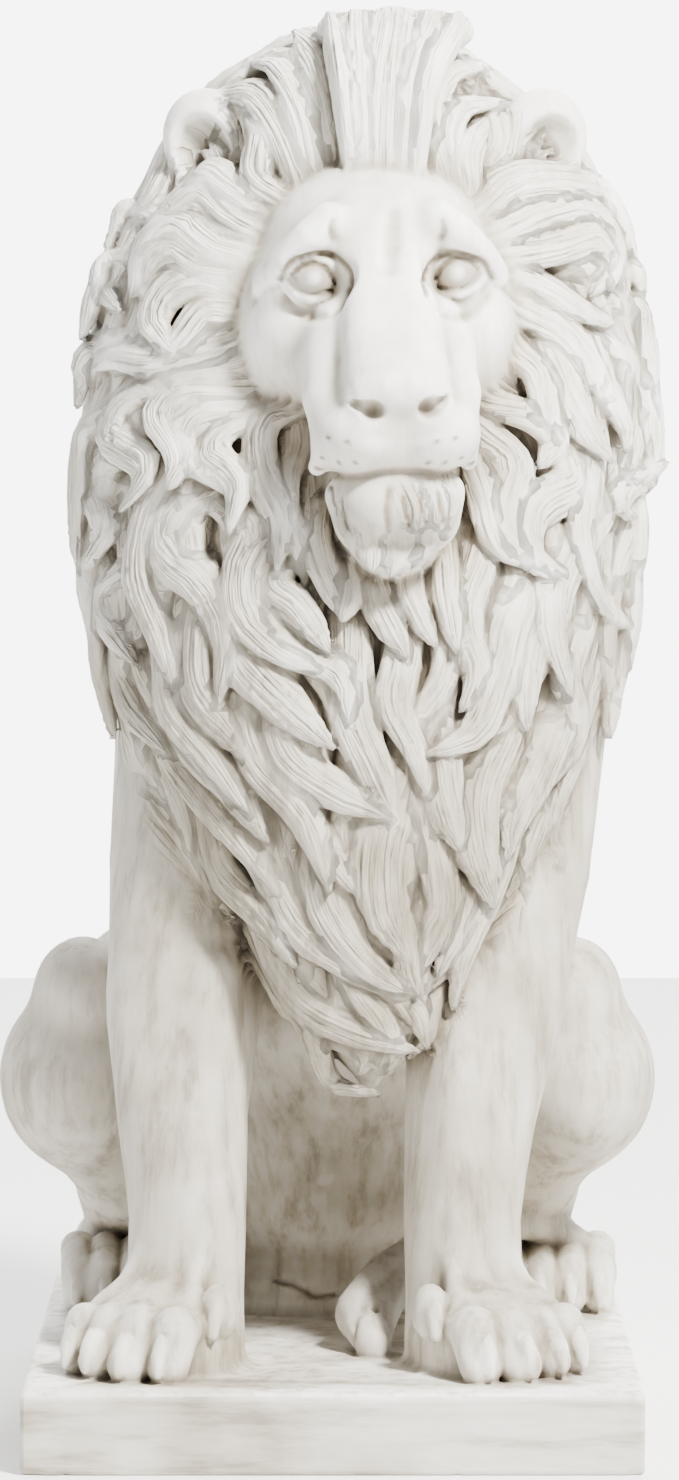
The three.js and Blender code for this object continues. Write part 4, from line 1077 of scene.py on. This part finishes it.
def cast_stone():
    """Cast stone (cement and marble dust) with an antique white wash: matt and chalky, off-white
    where it was wiped clean, warm grey where the wash stayed in the hollows. Painted shade is laid over
    the hollows, recesses, creases and lower parts. The finer strands of the mane, 2 to 3 mm apart, are a
    relief that runs along each lock, with painted shade in their grooves."""
    finish = bpy.data.materials.new("cast_stone_wash_and_painted_shade")
    finish.use_nodes = True
    tree = finish.node_tree
    tree.nodes.clear()
    place = add(tree, "ShaderNodeTexCoord").outputs["Object"]
    height = add(tree, "ShaderNodeSeparateXYZ", None, Vector=place).outputs["Z"]
    hollow, valley, recess_shade, painted_shade, combed = (
        add(tree, "ShaderNodeAttribute", {"attribute_name": name}).outputs["Fac"]
        for name in ("hollow", "valley", "recess_shade", "painted_shade", "combed"))
    hair = add(tree, "ShaderNodeAttribute", {"attribute_name": "hair"}).outputs["Vector"]
    strands = add(tree, "ShaderNodeTexNoise", {"noise_dimensions": "2D"}, Vector=hair, Scale=1.0,
                  Detail=1.6, Roughness=0.6, Distortion=0.0).outputs["Fac"]
    centred = add(tree, "ShaderNodeMath", {"operation": "SUBTRACT"}, i0=strands, i1=0.5).outputs[0]
    strand_relief = add(tree, "ShaderNodeMath", {"operation": "MULTIPLY"}, i0=centred,
                        i1=combed).outputs[0]

    # Wash and painted shade in the small hollows, broken up by clouds; painted shade in the strands' grooves.
    cloudy = add(tree, "ShaderNodeTexNoise", None, Vector=place, Scale=28.0, Detail=6.0,
                 Roughness=0.62).outputs["Fac"]
    broken = add(tree, "ShaderNodeMath", {"operation": "MULTIPLY_ADD"}, i0=cloudy, i1=0.22,
                 i2=hollow).outputs[0]
    broken = add(tree, "ShaderNodeMath", {"operation": "MULTIPLY_ADD"}, i0=strand_relief, i1=-0.3,
                 i2=broken).outputs[0]
    colour = ramp(tree, broken, (0.52, "#f9f8f6"), (0.63, "#e8e6e0"), (0.74, "#c4bfb5"), (0.88, "#958c7f"))

    # Painted shade in the larger hollows and the wide recesses. On the slab it is cut to three tenths.
    kept = add(tree, "ShaderNodeMapRange", None, Value=height, i1=0.041, i2=0.05, i3=0.3,
               i4=1.0).outputs[0]
    shade = ramp(tree, valley, (0.40, "#ffffff"), (0.60, "#eeebe6"), (0.78, "#b3ada3"))
    wide_painted_shade = ramp(tree, recess_shade, (0.50, "#ffffff"), (0.64, "#e0dcd5"), (0.80, "#b9b2a8"))
    # Painted shade: the legs and the slab's sides darker than the head and the slab's top, where less light
    # falls.
    lower = ramp(tree, height, (0.0372, "#d3d0ca"), (0.0388, "#ffffff"), (0.046, "#fbfaf8"),
                 (0.075, "#cdc9c2"), (0.30, "#cdc9c2"), (0.55, "#ffffff"))
    # Painted shade: the combed hair a little darker than the face.
    painted_hair_shade = ramp(tree, combed, (0.0, "#ffffff"), (1.0, "#e9e6e0"))
    # The painted shades laid on the clay, in warm grey.
    painted_shade_tone = ramp(tree, painted_shade, (0.0, "#ffffff"), (1.0, "#918779"))

    # Brushed streaks of the wash, 6 to 12 mm across and long up and down, but level on the slab.
    upright = add(tree, "ShaderNodeMapping", None, Vector=place, Scale=(85.0, 85.0, 14.0)).outputs[0]
    level = add(tree, "ShaderNodeMapping", None, Vector=place, Scale=(12.0, 12.0, 80.0)).outputs[0]
    on_slab = add(tree, "ShaderNodeMath", {"operation": "LESS_THAN"}, i0=height, i1=0.0385).outputs[0]
    drawn_out = add(tree, "ShaderNodeMix", {"data_type": "VECTOR"}, Factor=on_slab, i4=upright,
                    i5=level).outputs[1]
    streaks = add(tree, "ShaderNodeTexNoise", None, Vector=drawn_out, Scale=1.0, Detail=5.0,
                  Roughness=0.65).outputs["Fac"]
    streaked = ramp(tree, streaks, (0.34, "#c3beb4"), (0.50, "#f3f1ed"), (0.64, "#ffffff"))
    less = add(tree, "ShaderNodeMapRange", None, Value=height, i1=0.28, i2=0.50, i3=1.0,
               i4=0.4).outputs[0]
    # Smudges a hand's breadth apart, where the wash was wiped by hand.
    wiped = add(tree, "ShaderNodeTexNoise", None, Vector=place, Scale=13.0, Detail=3.0,
                Roughness=0.55).outputs["Fac"]
    smudged = ramp(tree, wiped, (0.38, "#dbd8d1"), (0.56, "#ffffff"))

    # Each tone darkens the colour under it, by its share.
    for share, tone in ((kept, shade), (kept, wide_painted_shade), (1.0, lower), (1.0, painted_hair_shade), (1.0, painted_shade_tone),
                        (less, streaked), (less, smudged)):
        colour = add(tree, "ShaderNodeMix", {"data_type": "RGBA", "blend_type": "MULTIPLY"},
                     i0=share, i6=colour, i7=tone).outputs[2]
    sand = add(tree, "ShaderNodeTexNoise", None, Vector=place, Scale=900.0, Detail=3.0,
               Roughness=0.6).outputs["Fac"]
    grain = add(tree, "ShaderNodeBump", None, Height=sand, Strength=0.12, Distance=0.0006).outputs[0]
    relief = add(tree, "ShaderNodeBump", None, Height=strand_relief, Strength=1.0, Distance=0.0036,
                 Normal=grain).outputs[0]
    shader = add(tree, "ShaderNodeBsdfPrincipled", None, Base_Color=colour, Roughness=0.68, Normal=relief)
    add(tree, "ShaderNodeOutputMaterial", None, Surface=shader.outputs[0])
    return finish


def spread_over(field, cell, reach):
    """A field's mean over a wide cube, worked out at every fourth point and spread back."""
    rough = blurred(np.ascontiguousarray(field[::4, ::4, ::4]), max(1, round(reach / cell / 4)))
    full = rough.repeat(4, axis=0).repeat(4, axis=1).repeat(4, axis=2)
    return full[tuple(slice(0, n) for n in field.shape)]


def write(mesh, name, values):
    """Keeps a number, or three, for each point of the mesh, under a name that the material reads."""
    kind, slot = ("FLOAT", "value") if values.ndim == 1 else ("FLOAT_VECTOR", "vector")
    column = mesh.attributes.new(name, kind, "POINT")
    column.data.foreach_set(slot, values.astype(np.float32).ravel())


def write_wash_and_shade(mesh, clay, at):
    """Writes where the wash and the painted shade lie: the filled share of a small, a larger and a wide
    cube round each point, and the painted shades, each of which fades in step with the distance to
    its form."""
    solid = (clay.depth < 0).astype(np.float32)
    for name, reach in (("hollow", 4.5), ("valley", 15)):
        write(mesh, name, clay.sample(blurred(solid, max(1, round(reach / clay.cell))), at))
    write(mesh, "recess_shade", clay.sample(spread_over(solid, clay.cell, 40), at))
    painted_shade = np.zeros(len(at))
    for low, high, distance, share, reach in clay.painted_shades:
        near = np.flatnonzero(((at > low - reach) & (at < high + reach)).all(axis=1))
        fade = np.clip(1 - distance(*at[near].T) / reach, 0, 1)
        painted_shade[near] = np.maximum(painted_shade[near], share * fade)
    write(mesh, "painted_shade", painted_shade)


def write_hair(mesh, clay, at):
    """Writes how much the strands show at each point, none on the face, and how far across and
    along its lock the point is, the first in strands."""
    strand, length = clay.sample(clay.strand, at), clay.sample(clay.length, at)
    combed = strand_share(clay.sample(clay.nearest, at), clay.sample(clay.second, at))
    x, y, z = at.T
    combed *= np.where(y < -40, smoothstep(1.0, 1.14, np.hypot((x - 22) / 70, (z - 524) / 62)), 1)
    write(mesh, "combed", combed)
    write(mesh, "hair", np.stack([strand / STRAND, length / 40, 0 * length], axis=1))


def set_normals(mesh, outward):
    """Gives each point the clay's own way out as its normal, but each facet of the slab that is
    larger than 30 square millimetres keeps its flat one."""
    corners = np.empty(len(mesh.loops), np.int32)
    mesh.loops.foreach_get("vertex_index", corners)
    count = len(mesh.polygons)
    sides, areas = np.empty(count, np.int32), np.empty(count, np.float32)
    flat, middle = np.empty(3 * count, np.float32), np.empty(3 * count, np.float32)
    for name, values in (("loop_total", sides), ("area", areas), ("normal", flat), ("center", middle)):
        mesh.polygons.foreach_get(name, values)
    large = np.repeat((areas > 30e-6) & (middle[2::3] < 0.0402), sides)[:, None]
    normals = np.where(large, np.repeat(flat.reshape(-1, 3), sides, axis=0), outward[corners])
    mesh.normals_split_custom_set(normals.tolist())


def show_lion():
    """The lion's skin as a mesh, thinned least on the face and then on the mane, with what the
    wash, the painted shade and the hair need written on it."""
    clay = model_lion()
    points, faces = clay.skin()
    x, y, z = points.T
    face = (np.hypot((x - 25) / 56, (z - 498) / 98) < 1) & (y < -85)
    front = (z > 200) & (y < 10)
    kept = np.where(face, 1, np.where(front, 0.6, 0))
    piece = thinned(mesh_of("lion", points, faces), MOST_TRIANGLES, kept)
    mesh = piece.data
    at = np.empty(3 * len(mesh.vertices), np.float32)
    mesh.vertices.foreach_get("co", at)
    at = at.reshape(-1, 3).astype(float)
    write_wash_and_shade(mesh, clay, at)
    write_hair(mesh, clay, at)
    outward = clay.outward(at)
    at = (at + (0, 0, SLAB_HEIGHT)) / 1000
    mesh.vertices.foreach_set("co", at.astype(np.float32).ravel())
    mesh.update()
    mesh.shade_smooth()
    set_normals(mesh, outward)
    mesh.materials.append(cast_stone())
    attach(piece, "root")
    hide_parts("lion_statue")


def lit_by(name, place, aim, size, watts, colour):
    """A round lamp at a place, turned to shine at its aim."""
    lamp = bpy.data.lights.new(name, "AREA")
    lamp.shape, lamp.size, lamp.energy, lamp.color = "DISK", size, watts, light(colour)[:3]
    piece = bpy.data.objects.new(name, lamp)
    piece.location = place
    piece.rotation_euler = (Vector(aim) - Vector(place)).to_track_quat("-Z", "Y").to_euler()
    bpy.context.scene.collection.objects.link(piece)


def studio():
    """A white sweep, a big soft key from high on the right, a fill from the left, and the camera
    a little above the lion's eyes."""
    floor = bpy.data.meshes.new("floor")
    u, v = np.meshgrid((-5, 5), (-6, 2.2))
    floor.from_pydata(np.stack([u.ravel(), v.ravel(), 0 * u.ravel()], axis=1).tolist(), [], [(0, 1, 3, 2)])
    paint = bpy.data.materials.new("studio_white")
    paint.use_nodes = True
    coat = paint.node_tree.nodes["Principled BSDF"].inputs
    coat["Base Color"].default_value = light("#f4f4f3")
    coat["Roughness"].default_value = 0.9
    floor.materials.append(paint)
    sweep = bpy.data.objects.new("floor", floor)
    bpy.context.scene.collection.objects.link(sweep)

    world = bpy.data.worlds.new("studio")
    world.use_nodes = True
    sky = world.node_tree
    around = add(sky, "ShaderNodeTexCoord").outputs["Generated"]
    away = add(sky, "ShaderNodeSeparateXYZ", None, Vector=around).outputs["Y"]
    glow = add(sky, "ShaderNodeMapRange", None, Value=away, i1=0.2, i2=0.995, i3=0.27, i4=7.0).outputs[0]
    sky.nodes["Background"].inputs["Color"].default_value = light("#ffffff")
    sky.links.new(glow, sky.nodes["Background"].inputs["Strength"])
    bpy.context.scene.world = world
    lit_by("key", (1.1, -1.5, 2.25), (0.03, 0, 0.45), 0.45, 375, "#fffdf9")
    lit_by("fill", (-2.2, -2.4, 1.2), (0, 0, 0.35), 1.6, 10, "#f4f8ff")
    lit_by("sweep_light", (0, 2.2, 2.6), (0, 1.6, 0), 1.6, 150, "#ffffff")

    lens = bpy.data.cameras.new("camera")
    lens.sensor_fit, lens.sensor_height, lens.lens = "VERTICAL", 36, 36 * 6310 / 1480
    lens.clip_end = 60
    eye = bpy.data.objects.new("camera", lens)
    eye.location = (0.0033, -3.2, 0.540)
    eye.rotation_euler = (math.radians(90 - 3.55), 0, 0)
    bpy.context.scene.collection.objects.link(eye)
    bpy.context.scene.camera = eye


studio()
show_lion()
